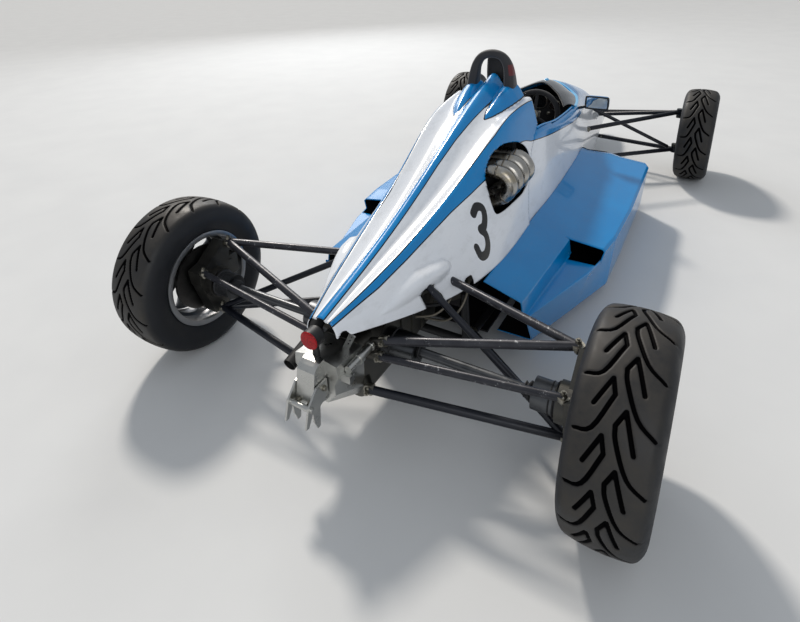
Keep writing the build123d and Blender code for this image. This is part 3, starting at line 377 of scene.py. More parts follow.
def rounded(outline, steps=6):
    """A closed outline made smooth: a Catmull-Rom curve through its points, with steps points to a side."""
    return catmull_rom(*(np.roll(outline, 1 - i, axis=0)[:, None] for i in range(4)), steps)


def distance_to_outline(points, outline):
    """Signed distance from 2-D points to a closed outline, positive inside: the least distance to its
    sides, with the sign by how many sides a line from the point crosses."""
    loop = np.concatenate([outline, outline[:1]])
    inside = np.zeros(len(points), bool)
    for p, q in zip(loop[:-1], loop[1:]):
        span = (p[1] > points[:, 1]) != (q[1] > points[:, 1])
        slope = (q[0] - p[0]) / ((q[1] - p[1]) or 1e-12)
        inside ^= span & (points[:, 0] < p[0] + slope * (points[:, 1] - p[1]))
    best = distance_to_path(points, loop)
    return np.where(inside, best, -best)


def cut_open(points, faces, axes, outline, where):
    """Cuts a closed outline out of a grid. Faces whose middle is inside go, and the points that are left at
    its edge slide along the gradient of their distance onto it. axes are the two coordinates that the
    outline is drawn in."""
    plane, step, margin = points[:, axes], 0.5 * MM, 20 * MM
    near_box = np.all((plane > outline.min(0) - margin) & (plane < outline.max(0) + margin), axis=1) & where
    depth = np.full(len(points), -1.0)
    depth[near_box] = distance_to_outline(plane[near_box], outline)
    gone = depth[faces].mean(axis=1) > 0
    used, lost = np.zeros(len(points), bool), np.zeros(len(points), bool)
    used[faces[~gone]] = True
    lost[faces[gone]] = True
    rim = used & lost
    for axis, shift in zip(axes, np.eye(2) * step):
        rise = np.subtract(*(distance_to_outline(plane[rim] + way * shift, outline) for way in (1, -1)))
        points[rim, axis] -= depth[rim] * rise / (2 * step)
    return faces[~gone]


# Race number 3, drawn with a brush 29 mm wide. Columns: reading direction, up, in tenths of its height
NUMBER_STROKES = np.array([
    (-3, 3.4), (-1.2, 4.8), (1.6, 4.6), (2.6, 3.0), (1.8, 1.0), (-0.2, 0.3), (2.2, -0.6), (3.0, -2.6),
    (1.6, -4.4), (-1.4, -4.8), (-3.2, -3.2),
])
NUMBER_MIDDLE, NUMBER_BRUSH = MM * np.array([-452.0, 474.0]), 14.5 * MM
NUMBER_ACROSS, NUMBER_UP = MM * np.array([-9.6, -3.6]), MM * np.array([-8.4, 14.6])
number = np.full(len(flat), -1.0)
for side in (1, -1):
    stroke = NUMBER_MIDDLE - side * NUMBER_STROKES[:, :1] * NUMBER_ACROSS + NUMBER_STROKES[:, 1:] * NUMBER_UP
    here = sides & (flat[:, 0] * side > 0)
    number[here] = NUMBER_BRUSH - distance_to_path(plane[here], curved(stroke))

# Openings in the flanks. Columns: y from the rear axle, z
EXHAUST_OPENING = MM * np.array([
    (-567, 496), (-569, 560), (-588, 625), (-640, 671), (-703, 692), (-768, 694), (-862, 672), (-925, 630),
    (-940, 575), (-905, 514), (-820, 483), (-700, 480), (-612, 482),
])
PUSHROD_SLOT = MM * np.array([
    (-92, 340), (-90, 412), (-103, 430), (-146, 430), (-150, 412), (-165, 385), (-168, 340),
])
ARM_SLOT = MM * np.array([(-264, 320), (-264, 372), (-276, 383), (-316, 383), (-316, 365), (-300, 320)])
TAIL_NOTCH = MM * np.array([(146, 370), (150, 404), (160, 422), (172, 424), (200, 396), (205, 370)])
# Front edge of the flanks, which leans back over the tub. Columns: y from the rear axle, z
SEAM = MM * np.array([(-1080, 690), (-1050, 660), (-975, 610), (-885, 486), (-838, 380), (-825, 330)])
ahead = np.concatenate([SEAM, MM * np.array([(-1100, 330), (-1100, 690)])])
faces = quads(COVER_ROWS, 2 * COVER_SIDE - 1)
for outline, where in (
    (rounded(EXHAUST_OPENING), flat[:, 0] < RIGHT_FLANK), (ahead, sides),
    (PUSHROD_SLOT, sides), (ARM_SLOT, sides), (TAIL_NOTCH, flat[:, 0] < RIGHT_TAIL),
):
    faces = cut_open(flat, faces, (1, 2), outline + [REAR_AXLE, 0], where)

PIN_LINE = 2.0 * MM


def two_tone(name, white, blue):
    """Sprayed gloss enamel under clear lacquer. The blue attribute is the distance inside the blue field,
    in metres: above zero it is blue, below zero white, and within a pin line of zero black. Where mark is
    above zero, the race number is painted."""
    material, tree, body, place = new_finish(
        name, Specular_IOR_Level=0.3, Coat_Weight=0.4, Coat_Roughness=0.04,
    )
    field = add_node(tree, "Attribute", {}, attribute_name="blue").outputs["Fac"]
    marks = add_node(tree, "Attribute", {}, attribute_name="mark").outputs["Fac"]
    cloud = add_node(tree, "TexNoise", {"Vector": place, "Scale": 5.0, "Detail": 5.0, "Roughness": 0.6})
    whites = add_node(tree, "Mix", {0: cloud, 6: linear(white[0]), 7: linear(white[1])}, data_type="RGBA")
    blues = add_node(tree, "Mix", {0: cloud, 6: linear(blue[0]), 7: linear(blue[1])}, data_type="RGBA")
    inside = add_node(tree, "Math", {0: field, 1: 0.0}, operation="GREATER_THAN")
    paint = add_node(tree, "Mix", {0: inside, 6: whites.outputs[2], 7: blues.outputs[2]}, data_type="RGBA")
    edge = add_node(tree, "Math", {0: field}, operation="ABSOLUTE")
    line = add_node(tree, "Math", {0: edge, 1: PIN_LINE}, operation="LESS_THAN")
    digit = add_node(tree, "Math", {0: marks, 1: 0.0}, operation="GREATER_THAN")
    dark = add_node(tree, "Math", {0: line, 1: digit}, operation="MAXIMUM")
    # Road film over the paint: faint grey streaks about 40 mm across and 80 mm long, weaker on the blue
    streak = add_node(tree, "Mapping", {"Vector": place, "Scale": (9.0, 4.0, 9.0)})
    film = add_node(tree, "TexNoise", {"Vector": streak, "Scale": 3.0, "Detail": 6.0, "Roughness": 0.7})
    most = add_node(tree, "MapRange", {0: inside, 3: 0.22, 4: 0.08})
    amount = add_node(tree, "MapRange", {0: film, 1: 0.5, 2: 0.8, 3: 0.0, 4: most})
    dusty = add_node(tree, "Mix", {0: amount, 6: paint.outputs[2], 7: linear("#6E6A64")}, data_type="RGBA")
    lined = add_node(tree, "Mix", {0: dark, 6: dusty.outputs[2], 7: linear("#05060A")}, data_type="RGBA")
    tree.links.new(lined.outputs[2], body.inputs["Base Color"])
    gloss = add_node(tree, "MapRange", {0: film, 1: 0.4, 2: 0.8, 3: 0.18, 4: 0.3})
    tree.links.new(gloss.outputs[0], body.inputs["Roughness"])
    # Orange peel of the sprayed coat, about 4 mm across
    peel = add_node(tree, "TexNoise", {"Vector": place, "Scale": 250.0, "Detail": 2.0})
    bump = add_node(tree, "Bump", {"Height": peel, "Strength": 0.05, "Distance": 0.4 * MM})
    tree.links.new(bump.outputs[0], body.inputs["Normal"])
    return material


paint = two_tone("gloss_enamel_white_and_blue", ("#DDE2EA", "#EDF0F4"), ("#0073B6", "#008ACE"))
# Inside, the moulding is left as bare black glass fibre, with strands about 8 mm apart
lining, tree, body, place = new_finish("bare_black_glass_fibre", Roughness=0.8, Specular_IOR_Level=0.2)
strands = add_node(tree, "TexVoronoi", {"Vector": place, "Scale": 120.0})
tones = add_node(tree, "Mix", {0: strands, 6: linear("#0B0B0D"), 7: linear("#16171A")}, data_type="RGBA")
tree.links.new(tones.outputs[2], body.inputs["Base Color"])
points, faces, used = kept(flat, faces)
cover = piece(
    "engine_cover_skin", points, faces, paint, slot="white_paint", replaces=["engine_cover"],
    blue=blue.ravel()[used], mark=number[used],
)
thickened(cover, COVER_WALL, lining=lining)

# Cockpit surround and nose
# One tub skin from the engine cover to the nose tip, glass fibre like the cover: upright sides, a rounded
# rim and a crowned deck, with the cockpit opening cut out of it and its edge rolled in. It is sprayed blue
# over white.

TUB_ROWS, TIP_ROWS, TUB_SIDE, TUB_PASSES = 240, 12, 70, 40
TUB_TIP, TIP_LEAST, TUB_FLOOR_END = 22 * MM, 0.02, -2050 * MM
# Columns: y from the rear axle, bottom z, floor x, waist x and z, rim x and z, top z
TUB = MM * np.array([
    (-815, 52, 236, 261, 345, 177, 686, 700), (-990, 52, 236, 262, 345, 198, 688, 700),
    (-1080, 52, 236, 264, 345, 213, 684, 700), (-1265, 52, 237, 262, 350, 229, 652, 672),
    (-1458, 52, 233, 257, 349, 230, 628, 652), (-1725, 52, 224, 246, 344, 215, 602, 648),
    (-1890, 52, 212, 234, 336, 188, 598, 662), (-2050, 50, 199, 223, 324, 160, 592, 660),
    (-2230, 53, 188, 215, 305, 138, 560, 616), (-2570, 62, 165, 196, 262, 108, 470, 512),
    (-3000, 92, 118, 150, 225, 80, 330, 358), (-3290, 135, 60, 84, 215, 48, 262, 278),
    (-3375, 176, 22, 30, 212, 20, 236, 242),
])
# Right half of the cockpit opening seen from above, from its rear to the middle of its front.
# Columns: x, y from the rear axle
OPENING_HALF = MM * np.array([
    (202, -1061), (208, -1177), (211, -1320), (208, -1458), (200, -1620), (188, -1759), (160, -1880),
    (105, -1960), (0, -2002),
])
OPENING_BEHIND, OPENING_MIDDLE, DECK_LOW = -960 * MM, -1500 * MM, 450 * MM
# Lower edge of the blue. Columns: y from the rear axle, z
BAND = MM * np.array([
    (-3375, 150), (-3000, 300), (-2570, 430), (-2080, 505), (-1856, 523), (-1293, 601), (-1003, 638),
    (-815, 640),
])
FLOOR_FACE, SEAM_LAP = 200 * MM, 20 * MM
LIP_ROUND, LIP_DEEP, LIP_LAP, LIP_SINK = 7 * MM, 12 * MM, 3 * MM, 1 * MM


def heading(path):
    """The way in which a path runs at each of its points, one metre long."""
    return unit(np.gradient(path, axis=0))


def all_blue(count):
    """Paint attributes of a piece that is blue all over and has no number."""
    return {"blue": np.full(count, 0.1), "mark": np.full(count, -1.0)}


def tub_skin():
    """The tub on a grid of stations by steps. Each half section is straight from floor to waist and from
    waist to rim, then a parabola over the deck, and its folds are softened. The tip shrinks along a quarter
    of an ellipse."""
    rows = TUB[::-1]
    y = np.concatenate([
        rows[0, 0] + TUB_TIP * np.linspace(0, 1, TIP_ROWS, endpoint=False) ** 2,
        np.linspace(rows[0, 0] + TUB_TIP, rows[-1, 0], TUB_ROWS - TIP_ROWS),
    ])
    low, floor_x, waist_x, waist_z, rim_x, rim_z, top = through(rows, y).T
    corner, waist, rim = pairs(floor_x, low), pairs(waist_x, waist_z), pairs(rim_x, rim_z)
    t = np.linspace(0, 1, 60)
    section = np.concatenate([
        corner[:, None] + (waist - corner)[:, None] * t[None, :-1, None],
        waist[:, None] + (rim - waist)[:, None] * t[None, :-1, None],
        arc_through(rim, pairs(0, top), rim * [-1, 1], t)[:, :30],
    ], axis=1)
    both = np.concatenate([section, section[:, ::-1] * [-1, 1]], axis=1)
    even = evenly(softened(both, TUB_PASSES), 2 * TUB_SIDE)
    back = np.clip(1 - (y - y[0]) / TUB_TIP, 0, 1)
    middle = pairs(0, (low + top) / 2)[:, None]
    even = middle + (even - middle) * np.maximum(np.sqrt(1 - back ** 2), TIP_LEAST)[:, None, None]
    return along_car(even, y[:, None])


tub, tub_y = tub_skin()
tub_deck = tub[:, TUB_SIDE // 2:-TUB_SIDE // 2].copy()
flat = tub.reshape(-1, 3)
mouth = curved(np.concatenate([OPENING_HALF, OPENING_HALF[-2::-1] * [-1, 1]])) + [0, REAR_AXLE]
behind = np.array([(way * OPENING_HALF[0, 0], REAR_AXLE + OPENING_BEHIND) for way in (-1, 1)])
faces = quads(TUB_ROWS, 2 * TUB_SIDE, around=True)[:, ::-1]
faces = cut_open(flat, faces, (0, 1), np.concatenate([mouth, behind]), flat[:, 2] > DECK_LOW)
spot = flat[faces].mean(axis=1)
spot_y = spot[:, 1] - REAR_AXLE
# The floor is open under the cockpit and the engine, and the tub ends a lap behind the cover's seam
open_floor = (np.ptp(flat[faces][..., 0], axis=1) > FLOOR_FACE) & (spot_y > TUB_FLOOR_END)
under_cover = spot_y > np.interp(spot[:, 2], SEAM[::-1, 1], SEAM[::-1, 0], left=SEAM[0, 0]) + SEAM_LAP
points, faces, used = kept(flat, faces[~open_floor & ~under_cover])
tub_piece = piece(
    "tub_skin", points, faces, paint, slot="white_paint", replaces=["cockpit_surround", "nose_cone"],
    blue=(flat[:, 2] - table_at(BAND, tub_y, 1).ravel())[used], mark=np.full(len(used), -1.0),
)
thickened(tub_piece, COVER_WALL, lining=lining)

# The edge of the opening, rolled inwards: a quarter round and a short skirt along the mouth's line
row_at = np.interp(mouth[:, 1] - REAR_AXLE, tub_y[:, 0], np.arange(TUB_ROWS))
deck = []
for r, x in zip(row_at, mouth[:, 0]):
    k = min(int(r), TUB_ROWS - 2)
    near, far = (np.interp(x, tub_deck[i][::-1, 0], tub_deck[i][::-1, 2]) for i in (k, k + 1))
    deck.append(near + (far - near) * (r - k))
inwards = heading(mouth)[:, ::-1] * [1, -1]
to_middle = np.array([0, REAR_AXLE + OPENING_MIDDLE]) - mouth
inwards *= np.sign((to_middle * inwards).sum(axis=1, keepdims=True))
turn = np.linspace(-0.5 * pi, 0.5 * pi, 14)
roll_in = np.append(LIP_ROUND * (1 + np.sin(turn)) / 2, LIP_ROUND)
roll_down = np.append(-LIP_ROUND * np.cos(turn) * 0.6, LIP_DEEP) + LIP_SINK
lip = np.concatenate([
    mouth[:, None] + inwards[:, None] * (roll_in[None, :, None] - LIP_LAP),
    (np.array(deck)[:, None] - roll_down[None])[..., None],
], axis=-1)
faces = quads(len(mouth), lip.shape[1])
rolled = piece("cockpit_rolled_edge", lip, faces, paint, slot="blue_paint", **all_blue(lip[..., 0].size))
thickened(rolled, COVER_WALL, 0.0)

# Sidepods
# A glass fibre box each side, open at both ends as the duct of a radiator, with a flat floor and a top that
# slopes out to a crest. An outlet slot breaks the top, and behind it a trough runs out at the rear and at
# the outer wall.

# Plan of the outer wall. Columns: y from the rear axle, x of its foot, x of its crest
POD_PLAN = MM * np.array([
    (-1958, 505, 505), (-1945, 532, 544), (-1930, 546, 569), (-1868, 568, 586), (-1300, 568, 591),
    (-987, 563, 580), (-740, 480, 545), (-352, 349, 424),
])
# Front edge of the top and the floor. Columns: x, y from the rear axle
POD_FRONT = MM * np.array([(266, -1872), (374, -1954), (505, -1958), (600, -1958)])
# Under the tail the floor rises. Columns: y from the rear axle, z
POD_UNDERSIDE = MM * np.array([(-1958, 46), (-494, 46), (-352, 246)])
POD_IN, POD_TOP, POD_CREST, POD_FOOT, POD_WALL = 266 * MM, 343 * MM, 284 * MM, 46 * MM, 4 * MM
SHELF_X, SHELF_Z, POD_ROUND = 424 * MM, 300 * MM, 10 * MM
NOSE_DROP, NOSE_RUN, NOSE_ABOVE = 14 * MM, 90 * MM, 200 * MM
SLOT_FRONT, TROUGH_FRONT, TROUGH_Z, TROUGH_TOE, POD_END = -856 * MM, -800 * MM, 240 * MM, 30 * MM, -352 * MM
SHELF_FALL = (POD_TOP - SHELF_Z) / (SHELF_X - POD_IN)
RUN_STEPS, POD_PASSES = 24, 3


def pod_skin(y, corners):
    """A sidepod's section run along the car: straight between its corners, each an x and a z for every y,
    with the corners softened. The first rows are sheared to the line of the front edge, and the top bends
    down to it."""
    corners = [pairs(x, z, y)[:, :2] for x, z in corners]
    share = np.linspace(0, 1, RUN_STEPS, endpoint=False)[None, :, None]
    runs = [a[:, None] + (b - a)[:, None] * share for a, b in zip(corners, corners[1:])]
    section = softened(np.concatenate([*runs, corners[-1][:, None]], axis=1), POD_PASSES)
    front = np.interp(section[..., 0], POD_FRONT[:, 0], POD_FRONT[:, 1])
    yy = np.maximum(y[:, None] + 0 * front, front)
    near = np.clip(1 - (yy - front) / NOSE_RUN, 0, 1) * (section[..., 1] > NOSE_ABOVE)
    section[..., 1] -= NOSE_DROP * near ** 2
    return along_car(section, yy)[0]


def pod_wall(y, z):
    """The outer wall's x at a place along the car and a height: it leans from its foot to its crest."""
    foot, crest = table_at(POD_PLAN, y, 1), table_at(POD_PLAN, y, 2)
    return foot + (crest - foot) * (z - POD_FOOT) / (POD_CREST - POD_FOOT)


def gathered(parts):
    """Several meshes of points and faces as one."""
    starts = np.cumsum([0] + [len(points) for points, _ in parts[:-1]])
    faces = [faces + start for (_, faces), start in zip(parts, starts)]
    return np.concatenate([points for points, _ in parts]), np.concatenate(faces)


def merged(points, faces, places):
    """A mesh whose points that agree to a number of decimal places are one point."""
    points, index = np.unique(np.round(points, places), axis=0, return_inverse=True)
    return points, index.reshape(-1)[faces]


y = np.concatenate([np.linspace(-1958, -1860, 50), np.linspace(-1855, -856, 90)]) * MM
crest = pod_wall(y, POD_CREST)
# Ahead of the cover the top reaches in to the tub's waist, which narrows towards the front
waist = np.minimum(POD_IN, np.interp(y, TUB[::-1, 0], TUB[::-1, 3]) - 1 * MM)
fore = pod_skin(y, [
    (waist, POD_TOP + (POD_IN - waist) * SHELF_FALL), (SHELF_X, SHELF_Z), (crest - POD_ROUND, POD_CREST),
    (crest, POD_CREST - POD_ROUND), (pod_wall(y, TROUGH_Z), TROUGH_Z), (pod_wall(y, POD_FOOT), POD_FOOT),
    (POD_IN, POD_FOOT),
])
y = np.linspace(SLOT_FRONT, POD_END, 70)
toe = TROUGH_TOE * (y - SLOT_FRONT) / (POD_END - SLOT_FRONT)
under = table_at(POD_UNDERSIDE, y, 1)
aft = pod_skin(y, [
    (waist[-1], POD_TOP + (POD_IN - waist[-1]) * SHELF_FALL), (SHELF_X - toe, SHELF_Z),
    (SHELF_X + 10 * MM - toe, TROUGH_Z), (pod_wall(y, TROUGH_Z), TROUGH_Z), (pod_wall(y, under), under),
    (POD_IN, under),
])
aft_faces = quads(*aft.shape[:2])
spot = aft.reshape(-1, 3)[aft_faces].mean(axis=1)
spot_y = spot[:, 1] - REAR_AXLE
# The trough starts open, as the outlet slot, and the section's last run, the floor, stops short of the tail
outlet = (spot_y < TROUGH_FRONT) & (spot[:, 0] > SHELF_X + 12 * MM) & (abs(spot[:, 2] - TROUGH_Z) < 4 * MM)
last_run = np.arange(len(spot)) % (aft.shape[1] - 1) >= aft.shape[1] - 1 - RUN_STEPS
aft_faces = aft_faces[~outlet & ~(last_run & (spot_y > POD_UNDERSIDE[1, 0]))]
for side, name in ((1, "left"), (-1, "right")):
    both = gathered([(fore.reshape(-1, 3), quads(*fore.shape[:2])), (aft.reshape(-1, 3), aft_faces)])
    points, faces = merged(*both, 5)
    faces = faces[np.all(np.sort(faces)[:, 1:] != np.sort(faces)[:, :-1], axis=1)]
    shell = piece(
        "sidepod_skin_" + name, points * [side, 1, 1], faces[:, ::side], paint, slot="blue_paint",
        replaces=["sidepod_" + name], **all_blue(len(points)),
    )
    thickened(shell, POD_WALL, lining=lining)

# Tyres
# Low racing radials on thirteen inch rims. Black rubber, moulded in a heated press that leaves the hooked
# grooves, the ribs above the bead and a dull sidewall. Road wear turns the tread a brownish grey.

CORNERS = (("rear_left", 1), ("rear_right", -1), ("front_left", 1), ("front_right", -1))
TREAD_PITCHES = 15
GROOVE_HALF, GROOVE_DEEP = 4.6 * MM, 6.0 * MM
SEAT_IN, SHOULDER_IN, SHOULDER_DROP, RIM_LIP, BULGE = 16.3 * MM, 20 * MM, 8 * MM, 178 * MM, 1 * MM
# The tread's wear and its grooves fade out down the shoulder, from and over these distances below the crown
FADE_FROM, FADE_OVER = 22 * MM, 14 * MM
TYRE_AROUND, TREAD_COLUMNS, WALL_COLUMNS, SHOULDER_PASSES = 600, 54, 11, 24
# Two low ribs on the sidewall, above the rim's lip. Columns: radius, height
RIBS, RIB_WIDE = MM * np.array([(186, 1.6), (196, 0.9)]), 2.6 * MM
# A hooked groove of each tread half, from its free end. Columns: across in half treads, along in pitches
HOOKS = (
    (0.0, np.array([(-0.60, -0.52), (-0.26, 0), (-0.14, -0.28), (-0.53, -0.93), (-0.97, -1.04)])),
    (0.5, np.array([(0.52, -0.65), (0.19, 0), (0.0, -0.27), (0.08, -0.53), (0.46, -1.07), (0.93, -1.32)])),
)


def outward(points, faces):
    """A closed piece's faces, turned round if its signed volume, the sum of a . (b x c), is negative."""
    p, f = np.asarray(points).reshape(-1, 3), np.asarray(faces)
    p = p - p.mean(axis=0)
    a, b, c, d = (p[f[:, i]] for i in range(4))
    volume = np.einsum("ij,ij->", a, np.cross(b, c)) + np.einsum("ij,ij->", a, np.cross(c, d))
    return f if volume > 0 else f[:, ::-1]


def resampled(line, at):
    """The points of one open line at the given distances along it."""
    run = run_length(line[None])[0]
    return np.stack([np.interp(at, run, line[:, i]) for i in range(line.shape[1])], axis=1)


def tyre_profile(half, radius):
    """Half a tyre's section from its bead to the middle of the tread, as distance from the middle plane and
    radius: a bulging parabola for the sidewall and a flat one for the tread, with the shoulder between them
    softened. Each rib adds its height times e to the power of minus its distance over its width,
    squared."""
    edge, shoulder = half - SHOULDER_IN, radius - SHOULDER_DROP
    bead, bulge = (half - SEAT_IN, RIM_LIP), (half + BULGE, (RIM_LIP + radius) / 2)
    side, crown = (
        arc_through(*np.array(corners)[:, None], np.linspace(0, 1, 60))[0]
        for corners in ((bead, bulge, (edge, shoulder)), ((edge, shoulder), (0, radius), (-edge, shoulder)))
    )
    line = softened(np.concatenate([side[:-1], crown])[None], SHOULDER_PASSES)[0]
    line = line[line[:, 0] >= -2 * MM]
    total = run_length(line[None])[0, -1]
    wall_run = np.linspace(0, total - edge, WALL_COLUMNS, endpoint=False)
    tread_run = np.linspace(total - edge, total, TREAD_COLUMNS // 2 + 1)
    points = resampled(line, np.concatenate([wall_run, tread_run]))
    points[-1, 0] = 0
    for place, high in RIBS:
        points[:, 0] += high * np.exp(-((points[:, 1] - place) / RIB_WIDE) ** 2) * (points[:, 0] > edge)
    return points


def eased(hook):
    """A hook whose last bend, where it turns to the shoulder, is round, and whose tip stays sharp."""
    return np.concatenate([hook[:3], curved(hook[2:], 4)[1:]])


def groove_depth(across, along, pitch, tread_half):
    """Distance inside the nearest groove, in metres: its half width, which tapers towards the shoulder,
    less the distance to its line."""
    best = np.full(across.shape, -1.0)
    for shift, hook in HOOKS:
        for copy in range(4):
            line = (eased(hook) + [0, shift + copy - 0.5]) * [tread_half, pitch]
            for k, (p, q) in enumerate(zip(line[:-1], line[1:])):
                dx, dy, way = across - p[0], along % pitch - p[1], q - p
                t = np.clip((dx * way[0] + dy * way[1]) / (way @ way), 0, 1)
                gap = np.hypot(dx - t * way[0], dy - t * way[1])
                thin = 1 - 0.4 * np.clip((k + t) / (len(line) - 1) - 0.5, 0, 1)
                best = np.maximum(best, GROOVE_HALF * thin - gap)
    return best


def tyre_rubber():
    """Cured rubber: worn grey tread, grooves of black rubber darkened further by painted shade, a blue-black
    sidewall, and fine grain in the bump.
    """
    material, tree, body, place = new_finish("worn_tyre_rubber")
    groove = add_node(tree, "Attribute", {}, attribute_name="groove").outputs["Fac"]
    tread = add_node(tree, "Attribute", {}, attribute_name="tread").outputs["Fac"]
    patches = add_node(tree, "TexNoise", {"Vector": place, "Scale": 16.0, "Detail": 7.0, "Roughness": 0.65})
    patch = add_node(tree, "MapRange", {0: patches, 1: 0.35, 2: 0.7})
    worn = add_node(tree, "Mix", {0: patch, 6: linear("#232324"), 7: linear("#383531")}, data_type="RGBA")
    wall = add_node(tree, "Mix", {0: patch, 6: linear("#131519"), 7: linear("#1D1F24")}, data_type="RGBA")
    skin = add_node(tree, "Mix", {0: tread, 6: wall.outputs[2], 7: worn.outputs[2]}, data_type="RGBA")
    # Grooves go near black, darker than the unworn sidewall rubber: painted shade in the grooves
    inside = add_node(tree, "MapRange", {0: groove, 1: -1.2 * MM, 2: 0.2 * MM})
    dark = add_node(tree, "Mix", {0: inside, 6: skin.outputs[2], 7: linear("#020203")}, data_type="RGBA")
    tree.links.new(dark.outputs[2], body.inputs["Base Color"])
    rough = add_node(tree, "MapRange", {0: patch, 3: 0.46, 4: 0.72})
    tree.links.new(rough.outputs[0], body.inputs["Roughness"])
    # Specular level drops in the grooves, so they show no reflections: part of the painted shade
    shine = add_node(tree, "MapRange", {0: inside, 3: 0.35, 4: 0.02})
    tree.links.new(shine.outputs[0], body.inputs["Specular IOR Level"])
    # Rubber crumb picked up by the tread, about 2 mm across
    crumb = add_node(tree, "TexNoise", {"Vector": place, "Scale": 420.0, "Detail": 3.0})
    bump = add_node(tree, "Bump", {"Height": crumb, "Strength": 0.25, "Distance": 0.6 * MM})
    tree.links.new(bump.outputs[0], body.inputs["Normal"])
    return material


rubber = tyre_rubber()
wheel_spot, wheel_half = {}, {}
for corner, side in CORNERS:
    low, high = (np.array(p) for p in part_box(corner + "_tyre"))
    spot, half_wide, radius = (low + high) / 2, (high[0] - low[0]) / 2, (high[2] - low[2]) / 2
    wheel_spot[corner], wheel_half[corner] = spot, half_wide
    line = tyre_profile(half_wide, radius)
    section = np.concatenate([line, line[-2::-1] * [-1, 1]])
    angle = np.linspace(0, 2 * pi, TYRE_AROUND, endpoint=False)[:, None]
    across_tyre = np.repeat(section[None, :, 0], TYRE_AROUND, 0)
    along = np.repeat(angle * radius, len(section), 1)
    pitch, tread_half = 2 * pi * radius / TREAD_PITCHES, half_wide - SHOULDER_IN + 3 * MM
    groove = groove_depth(-across_tyre, along, pitch, tread_half)
    on_tread = np.clip((section[:, 1] - (radius - FADE_FROM)) / FADE_OVER, 0, 1)[None]
    reach = section[None, :, 1] - GROOVE_DEEP * np.clip(groove / (0.7 * GROOVE_HALF) + 0.3, 0, 1) * on_tread
    grid = np.stack([
        spot[0] + across_tyre, spot[1] + reach * np.cos(angle), spot[2] + reach * np.sin(angle),
    ], axis=-1)
    faces = outward(grid, quads(TYRE_AROUND, len(section), along=True))
    piece(
        corner + "_tyre_rubber", grid, faces, rubber, corner + "_wheel", "tyre_rubber", [corner + "_tyre"],
        groove=np.where(on_tread > 0, groove, -1.0), tread=np.repeat(on_tread, TYRE_AROUND, 0),
    )

# Wheels, brakes and driveshafts
# Cast alloy rims with a rolled lip each side, a deep well and a web of eight windows, held by one centre
# nut. Iron brake discs sit on the hubs, and rubber boots cover the driveshafts' joints.

WINDOWS = 8
RIM_BORE, RIM_SEAT, RIM_WELL, WELL_FLOOR = 159 * MM, 165 * MM, 148 * MM, 153 * MM
# The well's floor and the ends of its slopes, along the axle
SLOPE_IN, FLOOR_IN, FLOOR_OUT, SLOPE_OUT = -35 * MM, -25 * MM, 20 * MM, 30 * MM
LIP_SET, LIP_T, WEB_IN, WEB_T, WEB_BORE, WEB_DISH = 9 * MM, 7 * MM, 62 * MM, 9 * MM, 20 * MM, 7 * MM
WEB_RINGS, WEB_AROUND = 44, 256
# One window of the web, from its middle. Columns: outwards, sideways
WINDOW, WINDOW_MIDDLE = MM * np.array([
    (-32, 0), (-28, 11), (0, 19), (30, 27), (40, 20), (43, 0), (40, -20), (30, -27), (0, -19), (-28, -11),
]), 98 * MM
NUT_SINK, STUD_RING, AXIS = 4 * MM, 46 * MM, 0.01 * MM


def spun(at, way, profile, sides=32, loop=False):
    """A closed body, its profile turned about the line from at along way. Columns: distance along, radius."""
    way, profile = unit(np.asarray(way, float)), np.asarray(profile, float)
    across = unit(np.cross(way, (0, 0, 1) if abs(way[2]) < 0.9 else (1, 0, 0)))
    rise = np.cross(across, way)
    angle = np.linspace(0, 2 * pi, sides, endpoint=False)[None, :, None]
    reach, far = profile[:, 1, None, None], profile[:, 0, None, None]
    points = np.asarray(at) + far * way + reach * (np.cos(angle) * across + np.sin(angle) * rise)
    return points.reshape(-1, 3), outward(points, quads(len(profile), sides, around=True, along=loop))


def capped(*profile, tip=None):
    """A profile in millimetres that starts and ends on its own axis. Columns: distance along, radius. Its
    end is level with its last point, or at tip."""
    ends = (profile[0][0], AXIS / MM), (profile[-1][0] if tip is None else tip, AXIS / MM)
    return MM * np.array([ends[0], *profile, ends[1]])


def crisp(made, angle=0.6):
    """Edges sharper than the angle shade as edges."""
    made.data.set_sharp_from_angle(angle=angle)
    return made


def metal(name, dark, light, rough, grain, flat=0.15, scratch=0.0, metallic=1.0):
    """Bare or coated metal, or a moulding where metallic is 0: two tones in soft clouds about 45 mm across, a
    bump with grains 1 / grain metres across, and worn bright spots where scratch is set."""
    material, tree, body, place = new_finish(name, Metallic=metallic, Roughness=rough)
    cloud = add_node(tree, "TexNoise", {"Vector": place, "Scale": 22.0, "Detail": 6.0, "Roughness": 0.6})
    tone = add_node(tree, "Mix", {0: cloud, 6: linear(dark), 7: linear(light)}, data_type="RGBA")
    if scratch:
        chips = add_node(tree, "TexNoise", {"Vector": place, "Scale": 60.0, "Detail": 8.0, "Roughness": 0.75})
        bare = add_node(tree, "MapRange", {0: chips, 1: 0.68 - scratch, 2: 0.72 - scratch})
        tone = add_node(tree, "Mix", {0: bare, 6: tone.outputs[2], 7: linear("#8B8D90")}, data_type="RGBA")
    tree.links.new(tone.outputs[2], body.inputs["Base Color"])
    spread = add_node(tree, "MapRange", {0: cloud, 1: 0.3, 2: 0.7, 3: rough - 0.08, 4: rough + 0.12})
    tree.links.new(spread.outputs[0], body.inputs["Roughness"])
    sand = add_node(tree, "TexNoise", {"Vector": place, "Scale": grain, "Detail": 4.0})
    bump = add_node(tree, "Bump", {"Height": sand, "Strength": flat, "Distance": 0.4 * MM})
    tree.links.new(bump.outputs[0], body.inputs["Normal"])
    return material


def finish_nodes(material, *names):
    """Gives CAD nodes that keep their shape a finish of their own."""
    for name in names:
        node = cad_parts[name]
        node.data.materials.clear()
        node.data.materials.append(material)


